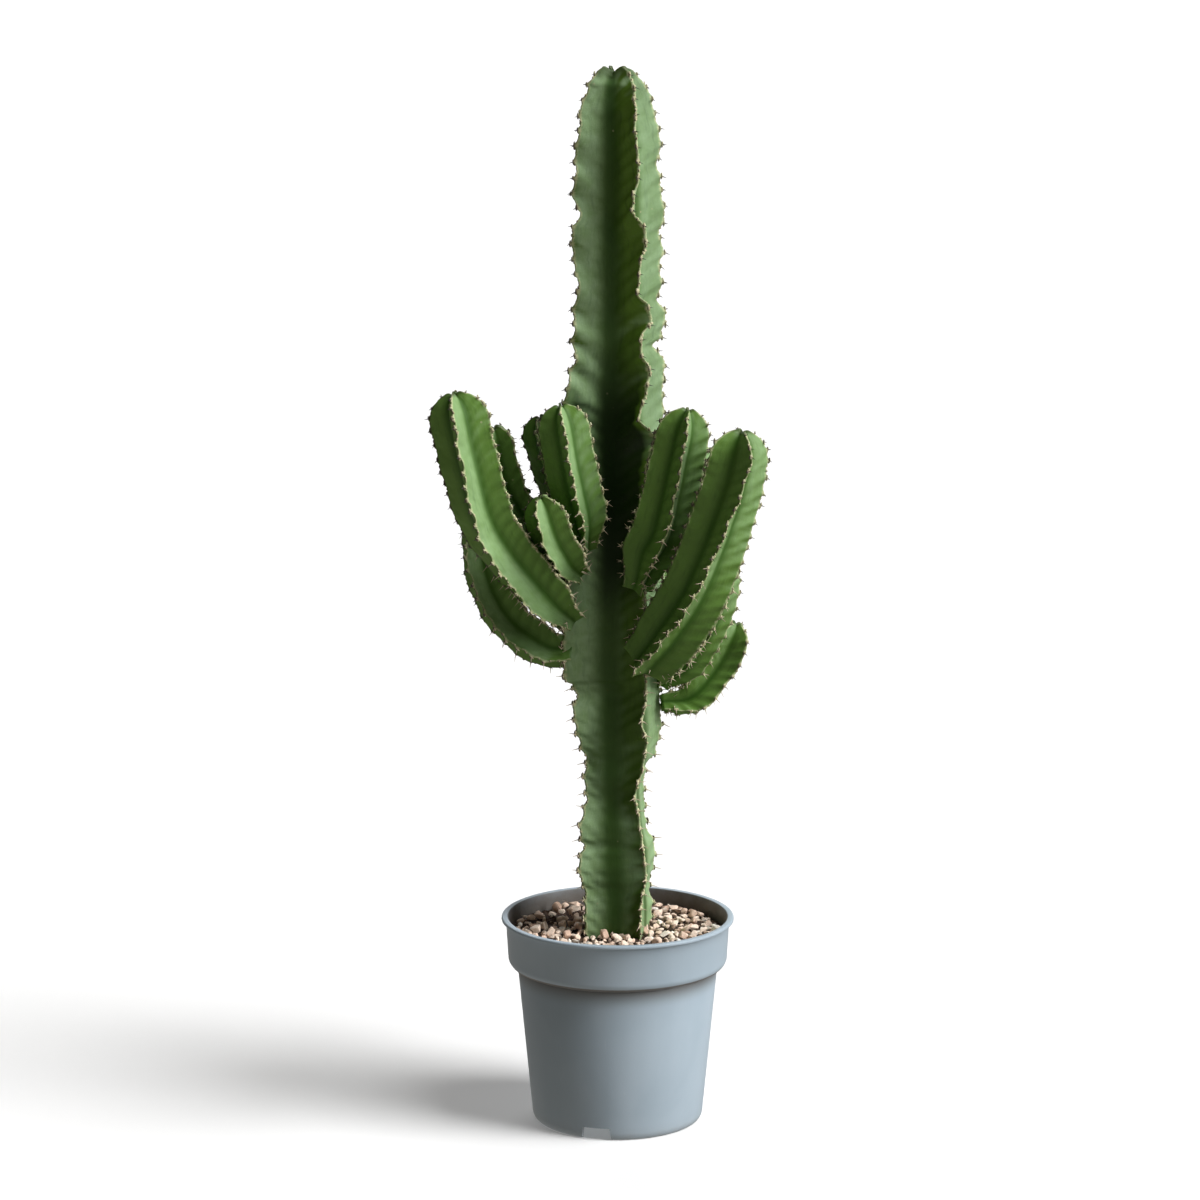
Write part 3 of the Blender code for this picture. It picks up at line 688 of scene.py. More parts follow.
def add_tuft(heap, rng, centre, ahead, reach, count):
    """A dry tuft of old spines and scraps where a branch leaves the stem."""
    side = unit(np.cross(ahead, (0.2, 0.3, 1.0)))
    back = np.cross(ahead, side)
    for _ in range(count):
        turn = rng.uniform(0.0, FULL_TURN)
        out = math.cos(turn) * side + math.sin(turn) * back
        base = centre + out * reach * rng.uniform(0.7, 1.0) + ahead * rng.uniform(-2.0, 3.0)
        direction = out + ahead * rng.uniform(-0.6, 0.7)
        direction = direction + np.array([rng.uniform(-0.4, 0.4) for _ in range(3)])
        bend = np.array([rng.uniform(-0.25, 0.25) for _ in range(3)])
        add_spike(heap, base, direction, bend, *(rng.uniform(*limits) for limits in TUFT_LIMITS))


# Pot


def arc(centre, radii, start, end, steps):
    """Profile points round part of an ellipse, at angles in degrees from outwards."""
    return [
        (centre[0] + radii[0] * math.cos(turn), centre[1] + radii[1] * math.sin(turn))
        for turn in np.radians(np.linspace(start, end, steps))
    ]


def body_radius(height):
    top = POT_HEIGHT - COLLAR_HEIGHT - SHOULDER_HEIGHT
    share = (height - BODY_BOTTOM_HEIGHT) / (top - BODY_BOTTOM_HEIGHT)
    return BODY_BOTTOM_RADIUS + share * (BODY_TOP_RADIUS - BODY_BOTTOM_RADIUS)


def inner_radius(height):
    collar_bottom = POT_HEIGHT - COLLAR_HEIGHT
    shoulder_bottom = collar_bottom - SHOULDER_HEIGHT
    if height >= collar_bottom:
        share = (height - collar_bottom) / COLLAR_HEIGHT
        return COLLAR_BOTTOM_RADIUS + share * (COLLAR_TOP_RADIUS - COLLAR_BOTTOM_RADIUS) - WALL
    if height >= shoulder_bottom:
        share = (height - shoulder_bottom) / SHOULDER_HEIGHT
        return BODY_TOP_RADIUS + share * (COLLAR_BOTTOM_RADIUS - BODY_TOP_RADIUS) - WALL
    return body_radius(height) - WALL


def pot_profile():
    """Half section of the pot, from the middle of its floor, up the inside and down the outside."""
    floor_top = FLOOR_HEIGHT + WALL
    collar_bottom = POT_HEIGHT - COLLAR_HEIGHT
    shoulder_bottom = collar_bottom - SHOULDER_HEIGHT
    inside = [
        (0.0, WALL),
        (PAD_RADIUS - WALL, WALL),
        (PAD_RADIUS + PAD_SLOPE - WALL, floor_top),
        (inner_radius(floor_top) - 1.0, floor_top),
        (inner_radius(floor_top), floor_top + 1.0),
        (inner_radius(shoulder_bottom), shoulder_bottom),
        (inner_radius(collar_bottom), collar_bottom),
        (inner_radius(POT_HEIGHT - 4), POT_HEIGHT - 4),
    ]
    inner = inner_radius(POT_HEIGHT)
    lip = arc((inner + 0.9, POT_HEIGHT - 0.9), (0.9, 0.9), 180, 90, 5)
    lip += arc((LIP_RADIUS - 1.2, POT_HEIGHT - 1.2), (1.2, 1.2), 90, 0, 6)
    lip += arc((LIP_RADIUS - 0.7, POT_HEIGHT - LIP_HEIGHT + 0.7), (0.7, 0.7), 0, -90, 4)
    lip += arc((COLLAR_TOP_RADIUS + 0.8, POT_HEIGHT - LIP_HEIGHT - 0.8), (0.8, 0.8), 90, 180, 4)
    shoulder = arc(
        (BODY_TOP_RADIUS, collar_bottom),
        (COLLAR_BOTTOM_RADIUS - BODY_TOP_RADIUS, SHOULDER_HEIGHT), 0, -84, 14,
    )
    crease = [
        (BODY_TOP_RADIUS - CREASE_DEPTH * 0.4, shoulder_bottom - 0.1),
        (BODY_TOP_RADIUS - CREASE_DEPTH, shoulder_bottom - 0.6),
        (body_radius(shoulder_bottom - 1.6), shoulder_bottom - 1.6),
    ]
    corner = arc(
        (FOOT_RADIUS, BODY_BOTTOM_HEIGHT),
        (BODY_BOTTOM_RADIUS - FOOT_RADIUS, BODY_BOTTOM_HEIGHT), 0, -90, 10,
    )
    ring_inside = FOOT_RADIUS - WALL
    underside = [
        (ring_inside, 0.0),
        (ring_inside, FLOOR_HEIGHT),
        (PAD_RADIUS + PAD_SLOPE, FLOOR_HEIGHT),
        (PAD_RADIUS, 0.0),
        (0.0, 0.0),
    ]
    return inside + lip + shoulder + crease + corner + underside


def turned_mesh(name, profile, steps):
    """A closed turned mesh from a profile that starts and ends on the axis."""
    turns = np.arange(steps) * FULL_TURN / steps
    rows = profile[1:-1]
    points = [(0.0, 0.0, profile[0][1])]
    for radius, height in rows:
        points.extend((radius * math.cos(turn), radius * math.sin(turn), height) for turn in turns)
    points.append((0.0, 0.0, profile[-1][1]))
    faces = [(0, 1 + step, 1 + (step + 1) % steps) for step in range(steps)]
    faces.extend(bands(1, steps, len(rows) - 1, down=True))
    first = 1 + (len(rows) - 1) * steps
    faces.extend((first + step, len(points) - 1, first + (step + 1) % steps) for step in range(steps))
    mesh = bpy.data.meshes.new(name)
    mesh.from_pydata((np.array(points) * MM).tolist(), [], faces)
    return mesh


def drainage_cutter():
    """Blocks through the foot ring and pins through the floor, as one cutter."""
    bm = bmesh.new()
    for index in range(NOTCH_COUNT):
        made = bmesh.ops.create_cube(bm, size=1.0)
        length = 2.6 * (BODY_BOTTOM_RADIUS - FOOT_RADIUS + WALL)
        turn = Matrix.Rotation(math.radians(NOTCH_ANGLE + index * 360.0 / NOTCH_COUNT), 3, "Z")
        for vert in made["verts"]:
            flare = 1.0 if vert.co.z > 0 else NOTCH_FLARE
            block = Vector((
                vert.co.x * length + FOOT_RADIUS,
                vert.co.y * NOTCH_WIDTH * flare,
                vert.co.z * 2 * NOTCH_HEIGHT,
            ))
            vert.co = turn @ block * MM
    for index in range(HOLE_COUNT):
        angle = math.radians((index + 0.5) * 360.0 / HOLE_COUNT)
        place = Vector((
            HOLE_CIRCLE * math.cos(angle), HOLE_CIRCLE * math.sin(angle), FLOOR_HEIGHT + WALL / 2,
        ))
        bmesh.ops.create_cone(
            bm, cap_ends=True, segments=24, radius1=HOLE_RADIUS * MM, radius2=HOLE_RADIUS * MM,
            depth=4 * WALL * MM, matrix=Matrix.Translation(place * MM),
        )
    mesh = bpy.data.meshes.new("drainage")
    bmesh.ops.recalc_face_normals(bm, faces=bm.faces)
    bm.to_mesh(mesh)
    bm.free()
    cutter = bpy.data.objects.new("drainage", mesh)
    bpy.context.scene.collection.objects.link(cutter)
    return cutter


def make_pot():
    """The pot with its rolled lip, soft shoulder, crease, foot notches and drain holes."""
    whole = bpy.data.objects.new("pot_moulding", turned_mesh("pot_moulding", pot_profile(), POT_STEPS))
    bpy.context.scene.collection.objects.link(whole)
    cutter = drainage_cutter()
    modifier = whole.modifiers.new("drainage", "BOOLEAN")
    modifier.operation = "DIFFERENCE"
    modifier.solver = "EXACT"
    modifier.object = cutter
    bpy.context.view_layer.update()
    evaluated = whole.evaluated_get(bpy.context.evaluated_depsgraph_get())
    mesh = bpy.data.meshes.new_from_object(evaluated)
    whole.modifiers.clear()
    whole.data = mesh
    bpy.data.objects.remove(cutter, do_unlink=True)
    mesh.materials.clear()
    mesh.materials.append(pot_plastic())
    mesh.shade_smooth()
    mesh.set_sharp_from_angle(angle=math.radians(38))
    settle(whole, "pot_plastic", "pot")


# Soil and gravel


def soil_height(x, y):
    edge = inner_radius(SOIL_TOP)
    reach = math.hypot(x, y)
    if reach <= 40.0:
        return SOIL_TOP + SOIL_CROWN
    return SOIL_TOP + SOIL_CROWN * (edge - reach) / (edge - 40.0)


def crumbled(x, y):
    """Height of the crumbly soil: the level, broken by clods, crumbs and grit."""
    level = soil_height(x, y)
    coarse = noise.fractal(Vector((x, y, 3.0)) / 9.0, 0.8, 2.1, 4)
    cells = noise.cell(Vector((x, y, 0.0)) / 3.1)
    lump = sum(
        reach * 0.42 * max(0.0, 1 - math.hypot(x - cx, y - cy) ** 2 / reach ** 2)
        for cx, cy, reach in CLODS
    )
    return level + SOIL_ROUGHNESS * (0.7 * coarse + 0.35 * (cells - 0.5)) + lump * (0.75 + 0.4 * coarse)


def make_soil():
    """Potting mix that fills the pot, with a crumbled top."""
    radii = [
        inner_radius(SOIL_TOP) * (step / SOIL_RINGS) ** 0.8 for step in range(1, SOIL_RINGS + 1)
    ]
    turns = np.arange(SOIL_SPOKES) * FULL_TURN / SOIL_SPOKES
    points = [(0.0, 0.0, SOIL_TOP)]
    for radius in radii:
        for turn in turns:
            x = radius * math.cos(turn)
            y = radius * math.sin(turn)
            points.append((x, y, crumbled(x, y)))
    floor_top = FLOOR_HEIGHT + WALL + 0.3
    shoulder_bottom = POT_HEIGHT - COLLAR_HEIGHT - SHOULDER_HEIGHT
    for radius, height in (
        (inner_radius(shoulder_bottom + SHOULDER_HEIGHT) - 0.45, shoulder_bottom + SHOULDER_HEIGHT),
        (inner_radius(shoulder_bottom) - 0.45, shoulder_bottom),
        (inner_radius(floor_top) - 0.45, floor_top),
    ):
        points.extend((radius * math.cos(turn), radius * math.sin(turn), height) for turn in turns)
    points.append((0.0, 0.0, floor_top))
    rows = SOIL_RINGS + 3
    faces = [(0, 1 + step, 1 + (step + 1) % SOIL_SPOKES) for step in range(SOIL_SPOKES)]
    faces.extend(bands(1, SOIL_SPOKES, rows - 1, down=True))
    first = 1 + (rows - 1) * SOIL_SPOKES
    last = len(points) - 1
    faces.extend((first + step, last, first + (step + 1) % SOIL_SPOKES) for step in range(SOIL_SPOKES))
    piece = mesh_piece("potting_mix", points, faces, potting_soil(), {})
    settle(piece, "potting_soil", "soil")


def chip(rng, half_axes, corners):
    """Points and faces of a stone broken along flat faces, with worn edges."""
    bm = bmesh.new()
    for _ in range(corners):
        direction = unit(np.array([rng.gauss(0, 1) for _ in range(3)])) * rng.uniform(0.78, 1.0)
        bm.verts.new(direction * half_axes)
    bmesh.ops.convex_hull(bm, input=bm.verts)
    inside = [vert for vert in bm.verts if not vert.link_faces]
    bmesh.ops.delete(bm, geom=inside, context="VERTS")
    bmesh.ops.bevel(bm, geom=list(bm.edges), offset=0.1 * min(half_axes), segments=1, affect="EDGES")
    bm.verts.index_update()
    spin = Matrix.Rotation(rng.uniform(0, FULL_TURN), 3, "Z")
    spin = spin @ Matrix.Rotation(rng.uniform(-STONE_TILT, STONE_TILT), 3, "X")
    points = np.array([tuple(spin @ vert.co) for vert in bm.verts])
    faces = [tuple(vert.index for vert in face.verts) for face in bm.faces]
    bm.free()
    return points, faces


def rib_clearance(x, y):
    """How far a place on the soil is outside the ribs at the foot of the stem, at least."""
    nearest = math.hypot(x, y) - 14.0
    height = np.array([150.0])
    turn = float(sampled(STEM_TURN, height)[0])
    front = float(sampled(FRONT_MEAN, height)[0])
    for angle, rib in zip((turn, turn + 90, turn + 180, front), STEM_RIBS):
        ray = np.array((math.cos(math.radians(angle)), math.sin(math.radians(angle))))
        along = min(max(x * ray[0] + y * ray[1], 0.0), float(sampled(rib, height)[0]))
        width = 3.0 + 9.0 * (1 - along / 30.0)
        nearest = min(nearest, math.hypot(x - along * ray[0], y - along * ray[1]) - width)
    return nearest


def gravel_places(rng, count, sizes, taken, crowding):
    """Scattered places for stones, which may press against each other but not pile up."""
    places = []
    for _ in range(count * 40):
        if len(places) == count:
            break
        size = rng.uniform(*sizes)
        angle = rng.uniform(0.0, FULL_TURN)
        reach = inner_radius(SOIL_TOP) * math.sqrt(rng.uniform(0.04, 1.0)) - 1.0 - size * 1.1
        x = reach * math.cos(angle)
        y = reach * math.sin(angle)
        sparse = math.hypot(x - SPARSE_SIDE[0], y - SPARSE_SIDE[1]) < SPARSE_SIDE[2]
        bare = any(math.hypot(x - cx, y - cy) < 0.75 * radius for cx, cy, radius in CLODS)
        if (bare or sparse) and rng.random() < 0.8:
            continue
        if rib_clearance(x, y) < size * 0.8:
            continue
        if all(math.hypot(x - ox, y - oy) > crowding * (size + other) for ox, oy, other in taken):
            places.append((x, y, size))
            taken.append((x, y, size))
    return places


def make_gravel():
    """Stones of the top dressing: the CAD pebbles made fine, the smaller stones and the crumbs."""
    rng = random.Random(GRAVEL_SEED)
    finish = gravel_stone()
    taken = []
    pebbles = Heap("tone")
    nodes = sorted(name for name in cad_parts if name.startswith("pebble"))
    for name in nodes:
        low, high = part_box(name)
        middle = np.array((low + high) / 2) / MM
        half = np.array((high - low) / 2) / MM
        points, faces = chip(rng, half, STONE_CORNERS)
        points = (points - points.min(axis=0)) / np.ptp(points, axis=0) * 2 - 1
        pebbles.add(points * half + middle, faces, tone=rng.random())
        taken.append((middle[0], middle[1], float(max(half[:2])) * 0.9))
    settle(pebbles.piece("large_gravel", finish, smooth=False), "pebble", *nodes)
    stones = Heap("tone")
    for x, y, size in gravel_places(rng, STONE_COUNT, STONE_SIZE, taken, STONE_CROWDING):
        half = [size * rng.uniform(0.9, 1.6), size * rng.uniform(0.65, 1.0), size * rng.uniform(0.6, 1.0)]
        points, faces = chip(rng, half, STONE_CORNERS)
        lift = soil_height(x, y) + half[2] * rng.uniform(0.3, 1.0)
        stones.add(points + np.array((x, y, lift)), faces, tone=rng.random())
    settle(stones.piece("fine_gravel", finish, smooth=False), "pebble")
    crumbs = Heap("tone")
    for x, y, size in gravel_places(rng, CRUMB_COUNT, CRUMB_SIZE, taken, CRUMB_CROWDING):
        half = [size * rng.uniform(0.8, 1.3), size, size * rng.uniform(0.6, 1.0)]
        points, faces = chip(rng, half, CRUMB_CORNERS)
        lift = soil_height(x, y) + half[2] * rng.uniform(0.5, 1.4)
        crumbs.add(points + np.array((x, y, lift)), faces, tone=rng.random())
    settle(crumbs.piece("crumbs", soil_crumbs(), smooth=False), "potting_soil")


# Materials


class Nodes:
    """Short calls for building a material's node tree."""

    def __init__(self, name):
        self.material = bpy.data.materials.new(name)
        self.material.use_nodes = True
        self.tree = self.material.node_tree
        self.shader = self.tree.nodes["Principled BSDF"]

    def link(self, source, target):
        self.tree.links.new(source, target)

    def node(self, kind, **settings):
        made = self.tree.nodes.new(kind)
        for name, value in settings.items():
            setattr(made, name, value)
        return made

    def layer(self, name):
        return self.node("ShaderNodeAttribute", attribute_name=name).outputs["Fac"]

    def place(self):
        return self.node("ShaderNodeTexCoord").outputs["Object"]

    def facing(self, direction):
        """How far the surface faces a fixed direction of the object, from -1 to 1."""
        made = self.node("ShaderNodeVectorMath", operation="DOT_PRODUCT")
        self.link(self.node("ShaderNodeNewGeometry").outputs["Normal"], made.inputs[0])
        made.inputs[1].default_value = direction
        return made.outputs["Value"]

    def parts(self, vector):
        made = self.node("ShaderNodeSeparateXYZ")
        self.link(vector, made.inputs[0])
        return made.outputs

    def joined(self, x, y, z):
        made = self.node("ShaderNodeCombineXYZ")
        for socket, value in zip(made.inputs, (x, y, z)):
            self.feed(socket, value)
        return made.outputs[0]

    def feed(self, socket, value):
        if isinstance(value, (int, float)):
            socket.default_value = value
        elif isinstance(value, tuple):
            socket.default_value = (*value, 1.0)
        else:
            self.link(value, socket)

    def scaled(self, vector, scale):
        made = self.node("ShaderNodeMapping")
        self.link(vector, made.inputs["Vector"])
        made.inputs["Scale"].default_value = scale
        return made.outputs[0]

    def noise(self, vector, scale, detail=3.0, roughness=0.55, distortion=0.0):
        made = self.node("ShaderNodeTexNoise")
        self.link(vector, made.inputs["Vector"])
        made.inputs["Scale"].default_value = scale
        made.inputs["Detail"].default_value = detail
        made.inputs["Roughness"].default_value = roughness
        made.inputs["Distortion"].default_value = distortion
        return made.outputs["Fac"]

    def cells(self, vector, scale):
        made = self.node("ShaderNodeTexVoronoi")
        self.link(vector, made.inputs["Vector"])
        made.inputs["Scale"].default_value = scale
        return made.outputs["Distance"]

    def math(self, operation, first, second=0.0, third=0.0):
        made = self.node("ShaderNodeMath", operation=operation)
        for socket, value in zip(made.inputs, (first, second, third)):
            self.feed(socket, value)
        return made.outputs[0]

    def times(self, first, second):
        return self.math("MULTIPLY", first, second)

    def plus(self, first, second):
        return self.math("ADD", first, second)

    def ramp(self, value, low, high, bottom=0.0, top=1.0):
        made = self.node("ShaderNodeMapRange", interpolation_type="SMOOTHSTEP")
        for name, entry in (
            ("Value", value), ("From Min", low), ("From Max", high), ("To Min", bottom), ("To Max", top),
        ):
            self.feed(made.inputs[name], entry)
        return made.outputs["Result"]

    def mixed(self, share, first, second, blend="MIX"):
        made = self.node("ShaderNodeMix", data_type="RGBA", blend_type=blend)
        self.feed(made.inputs["Factor"], share)
        self.feed(made.inputs[6], first)
        self.feed(made.inputs[7], second)
        return made.outputs[2]

    def bump(self, height, strength, distance):
        made = self.node("ShaderNodeBump")
        made.inputs["Strength"].default_value = strength
        made.inputs["Distance"].default_value = distance
        self.link(height, made.inputs["Height"])
        return made.outputs[0]

    def finish(self, colour, roughness, normal):
        self.link(colour, self.shader.inputs["Base Color"])
        self.feed(self.shader.inputs["Roughness"], roughness)
        self.link(normal, self.shader.inputs["Normal"])
        return self.material


def skin(name, deep, fresh, wax, painted_light_side, painted_light_range, foot_shade_levels, core_shade=0.0):
    """Green skin: deep green towards the grooves, partly painted shade, fresher on the flanks, with a
    pale wax bloom and painted highlight on the side towards the light, horny along the crests.

    The range of the lit side is where its bloom and painted highlight start and are full, and how much of
    them is left elsewhere.
    The foot shade is how much painted shade darkens the skin towards its foot, on that side and
    elsewhere, and core_shade how much painted shade darkens it where the branches stand close round it.
    """
    n = Nodes(name)
    edge = n.layer("edge")
    along = n.layer("along")
    around = n.layer("around")
    tooth = n.layer("tooth")
    place = n.place()
    facing = n.facing(painted_light_side)
    lit_share = n.ramp(facing, *painted_light_range)
    unlit = n.ramp(facing, 0.8, 0.5)
    flow = n.joined(n.times(around, 0.03), along, 0.0)
    patches = n.noise(place, 16.0, 3.0, 0.55, 0.6)
    mottle = n.noise(place, 85.0, 4.0, 0.6, 0.3)
    streaks = n.noise(n.scaled(flow, (14.0, 1.0, 1.0)), 42.0, 3.0, 0.6, 0.2)
    # Darker green towards the grooves: partly the skin's own colour, partly painted shade in the grooves.
    colour = n.mixed(n.ramp(edge, 0.02, 0.62), deep, fresh)
    dull = tuple(channel * 0.6 for channel in fresh)
    colour = n.mixed(n.ramp(patches, 0.38, 0.68, 0.0, 0.4), colour, dull)
    # Pale wax bloom only on the side towards the light: real bloom mottle together with a painted
    # highlight.
    wax_and_painted_light = n.ramp(n.plus(mottle, n.times(streaks, 0.5)), 0.45, 1.0, 0.6, 1.0)
    wax_and_painted_light = n.times(wax_and_painted_light, n.ramp(edge, 0.05, 0.5, 0.15, 1.0))
    wax_and_painted_light = n.times(wax_and_painted_light, lit_share)
    colour = n.mixed(wax_and_painted_light, colour, wax)
    streak = tuple(channel * 0.75 for channel in deep)
    colour = n.mixed(n.ramp(streaks, 0.48, 0.74, 0.0, 0.3), colour, streak)
    scars = n.ramp(n.cells(place, 95.0), 0.1, 0.05)
    rare = n.ramp(n.noise(place, 30.0, 2.0), 0.56, 0.64)
    colour = n.mixed(n.times(n.times(scars, rare), 0.55), colour, (0.48, 0.47, 0.28))
    grain = n.noise(place, 420.0, 3.0, 0.7)
    rim = n.times(n.ramp(edge, 0.94, 0.99), n.ramp(grain, 0.38, 0.58, 0.15, 1.0))
    pad = n.times(n.ramp(edge, 0.9, 0.975), n.ramp(tooth, 0.35, 0.85))
    pale = n.mixed(grain, (0.4, 0.42, 0.2), (0.66, 0.7, 0.42))
    # Horn painted pale on the side towards the light and dark on the other: painted light and shade.
    horn_lit_and_shaded = n.mixed(n.ramp(facing, -0.2, 0.25), (0.06, 0.055, 0.03), pale)
    colour = n.mixed(n.math("MAXIMUM", n.times(rim, 0.75), pad), colour, horn_lit_and_shaded)
    # Painted shade towards the foot, its strength set by how far the skin faces the light.
    foot = n.ramp(n.layer("youth"), 0.28, 0.48, 1.0, 0.0)
    foot_shade_share = n.times(foot, n.ramp(facing, 0.8, 0.5, *foot_shade_levels))
    colour = n.mixed(foot_shade_share, colour, tuple(channel * 0.8 for channel in deep))
    if core_shade:
        z = n.parts(place)[2]
        low, dark, deepest, high = SHADED_PART
        shade = n.times(n.ramp(z, low, dark), n.ramp(z, high, deepest))
        shade = n.times(shade, n.ramp(edge, *SHADED_EDGE, 0.0, core_shade))
        shade = n.times(shade, unlit)
        colour = n.mixed(shade, colour, (0.004, 0.014, 0.001))
    # Painted shade: the sunken crown at the tip is darkened to a near-black green.
    crown = n.ramp(n.layer("youth"), 0.985, 1.0, 0.0, 0.7)
    colour = n.mixed(crown, colour, (0.03, 0.045, 0.012))
    pores = n.noise(place, 900.0, 2.0, 0.7)
    height = n.plus(n.times(streaks, 0.5), n.times(pores, 0.25))
    height = n.plus(height, n.times(mottle, 0.6))
    roughness = n.ramp(mottle, 0.3, 0.7, 0.42, 0.58)
    n.shader.inputs["Specular IOR Level"].default_value = SKIN_GLOSS
    return n.finish(colour, roughness, n.bump(height, 0.5, 0.0008))


def spine_horn():
    """Spines: dark red-brown when young, bone pale when old, on pads painted cream on the side towards
    the light and dark brown on the other.
    """
    n = Nodes("spine_horn")
    tip = n.layer("tip")
    old = n.layer("old")
    grain = n.noise(n.place(), 700.0, 2.0)
    lit_share = n.ramp(n.facing(BRANCH_PAINTED_LIGHT_SIDE), -0.25, 0.3)
    young = n.mixed(n.ramp(tip, 0.0, 0.6), (0.1, 0.075, 0.05), (0.03, 0.024, 0.022))
    dry = n.mixed(n.ramp(tip, 0.1, 1.0), (0.66, 0.57, 0.42), (0.5, 0.36, 0.27))
    colour = n.mixed(n.ramp(old, 0.3, 0.8), young, dry)
    cream = n.mixed(n.ramp(grain, 0.35, 0.65), (0.42, 0.38, 0.2), (0.7, 0.69, 0.43))
    # Pads painted cream on the side towards the light and dark brown on the other: painted light and
    # shade.
    pad = n.mixed(n.times(lit_share, n.ramp(old, 0.0, 0.5, 0.75, 1.0)), (0.07, 0.055, 0.035), cream)
    colour = n.mixed(n.layer("shield"), colour, pad)
    return n.finish(colour, n.ramp(grain, 0.3, 0.7, 0.45, 0.65), n.bump(grain, 0.4, 0.0002))


def pot_plastic():
    """Matt grey-blue polypropylene with a fine moulded grain, scuffs and a little dust."""
    n = Nodes("pot_moulded")
    place = n.place()
    grain = n.noise(place, 1500.0, 2.0, 0.6)
    clouds = n.noise(place, 14.0, 3.0, 0.5, 0.8)
    flow = n.noise(n.scaled(place, (1.0, 1.0, 0.12)), 60.0, 3.0, 0.6)
    colour = n.mixed(n.ramp(clouds, 0.35, 0.65), (0.355, 0.44, 0.51), (0.385, 0.47, 0.54))
    colour = n.mixed(n.ramp(flow, 0.4, 0.75, 0.0, 0.12), colour, (0.48, 0.56, 0.63))
    scratches = n.noise(n.scaled(place, (3.0, 3.0, 0.3)), 210.0, 3.0, 0.75)
    colour = n.mixed(n.ramp(scratches, 0.66, 0.74, 0.0, 0.16), colour, (0.62, 0.66, 0.7))
    x, y, z = n.parts(place)
    low = n.ramp(z, 0.012, 0.0, 0.0, 0.3)
    colour = n.mixed(n.times(low, n.noise(place, 120.0, 3.0)), colour, (0.3, 0.27, 0.24))
    collar = n.math("MULTIPLY_ADD", z, COLLAR_SLOPE, (COLLAR_TOP_RADIUS - COLLAR_SLOPE * POT_HEIGHT) * MM)
    reach = n.math("SQRT", n.plus(n.times(x, x), n.times(y, y)))
    depth = n.math("SUBTRACT", reach, collar)
    # The inside of the wall above the soil is darkened, most towards the soil.
    inner = n.times(n.ramp(depth, -0.5 * WALL * MM, -0.9 * WALL * MM), n.ramp(z, 0.1, 0.12))
    ragged = n.math("MULTIPLY_ADD", n.noise(place, 70.0, 4.0, 0.7), 0.016, z)
    inner_darkening = n.times(inner, n.ramp(ragged, 0.163, 0.151, 0.68, 0.92))
    colour = n.mixed(inner_darkening, colour, (0.12, 0.1, 0.08))
    height = n.plus(grain, n.times(clouds, 1.5))
    roughness = n.ramp(flow, 0.3, 0.7, 0.42, 0.52)
    n.shader.inputs["Specular IOR Level"].default_value = 0.4
    return n.finish(colour, roughness, n.bump(height, 0.25, 0.0002))


def potting_soil():
    """Dark, damp potting mix with fibres and grit."""
    n = Nodes("crumbled_soil")
    place = n.place()
    clods = n.noise(place, 210.0, 5.0, 0.7, 0.5)
    fibres = n.noise(n.scaled(place, (1.0, 0.2, 1.0)), 900.0, 2.0)
    colour = n.mixed(n.ramp(clods, 0.3, 0.7), (0.018, 0.01, 0.006), (0.105, 0.06, 0.036))
    colour = n.mixed(n.ramp(fibres, 0.62, 0.72, 0.0, 0.6), colour, (0.2, 0.125, 0.075))
    grit = n.ramp(n.cells(place, 750.0), 0.16, 0.1)
    rare = n.ramp(n.noise(place, 180.0, 2.0), 0.55, 0.62)
    colour = n.mixed(n.times(grit, rare), colour, (0.55, 0.45, 0.36))
    height = n.plus(clods, n.times(fibres, 0.3))
    return n.finish(colour, 0.92, n.bump(height, 0.9, 0.0015))


def soil_crumbs():
    """Crumbs of soil and bark, with a pale grain among them here and there."""
    n = Nodes("soil_crumb")
    place = n.place()
    tone = n.layer("tone")
    grain = n.noise(place, 600.0, 3.0, 0.7)
    brown = n.mixed(n.ramp(tone, 0.0, 0.55), (0.03, 0.017, 0.01), (0.16, 0.095, 0.06))
    colour = n.mixed(n.ramp(tone, 0.56, 0.6), brown, (0.5, 0.37, 0.26))
    colour = n.mixed(n.ramp(tone, 0.93, 0.94), colour, (0.8, 0.76, 0.7))
    colour = n.mixed(n.ramp(grain, 0.3, 0.7, 0.0, 0.5), colour, (0.06, 0.035, 0.02), "MULTIPLY")
    return n.finish(colour, 0.9, n.bump(grain, 0.8, 0.0006))


def gravel_stone():
    """Pinkish-cream chips, each of its own tone, with stained pits."""
    n = Nodes("gravel_stone")
    place = n.place()
    tone = n.layer("tone")
    warm = n.mixed(n.ramp(tone, 0.02, 0.15), (0.55, 0.37, 0.27), (0.88, 0.67, 0.53))
    warm = n.mixed(n.ramp(tone, 0.25, 0.75), warm, (0.96, 0.8, 0.66))
    warm = n.mixed(n.ramp(tone, 0.88, 0.92), warm, (0.97, 0.9, 0.8))
    veins = n.noise(place, 260.0, 4.0, 0.65, 0.8)
    colour = n.mixed(n.ramp(veins, 0.52, 0.72, 0.0, 0.35), warm, (0.45, 0.29, 0.2))
    pits = n.ramp(n.cells(place, 620.0), 0.3, 0.12)
    spotted = n.times(pits, n.ramp(n.noise(place, 300.0, 2.0), 0.5, 0.62))
    colour = n.mixed(n.times(spotted, 0.6), colour, (0.2, 0.12, 0.08))
    height = n.plus(veins, n.times(pits, -0.4))
    return n.finish(colour, n.ramp(veins, 0.3, 0.7, 0.62, 0.85), n.bump(height, 0.55, 0.0006))


# Stage


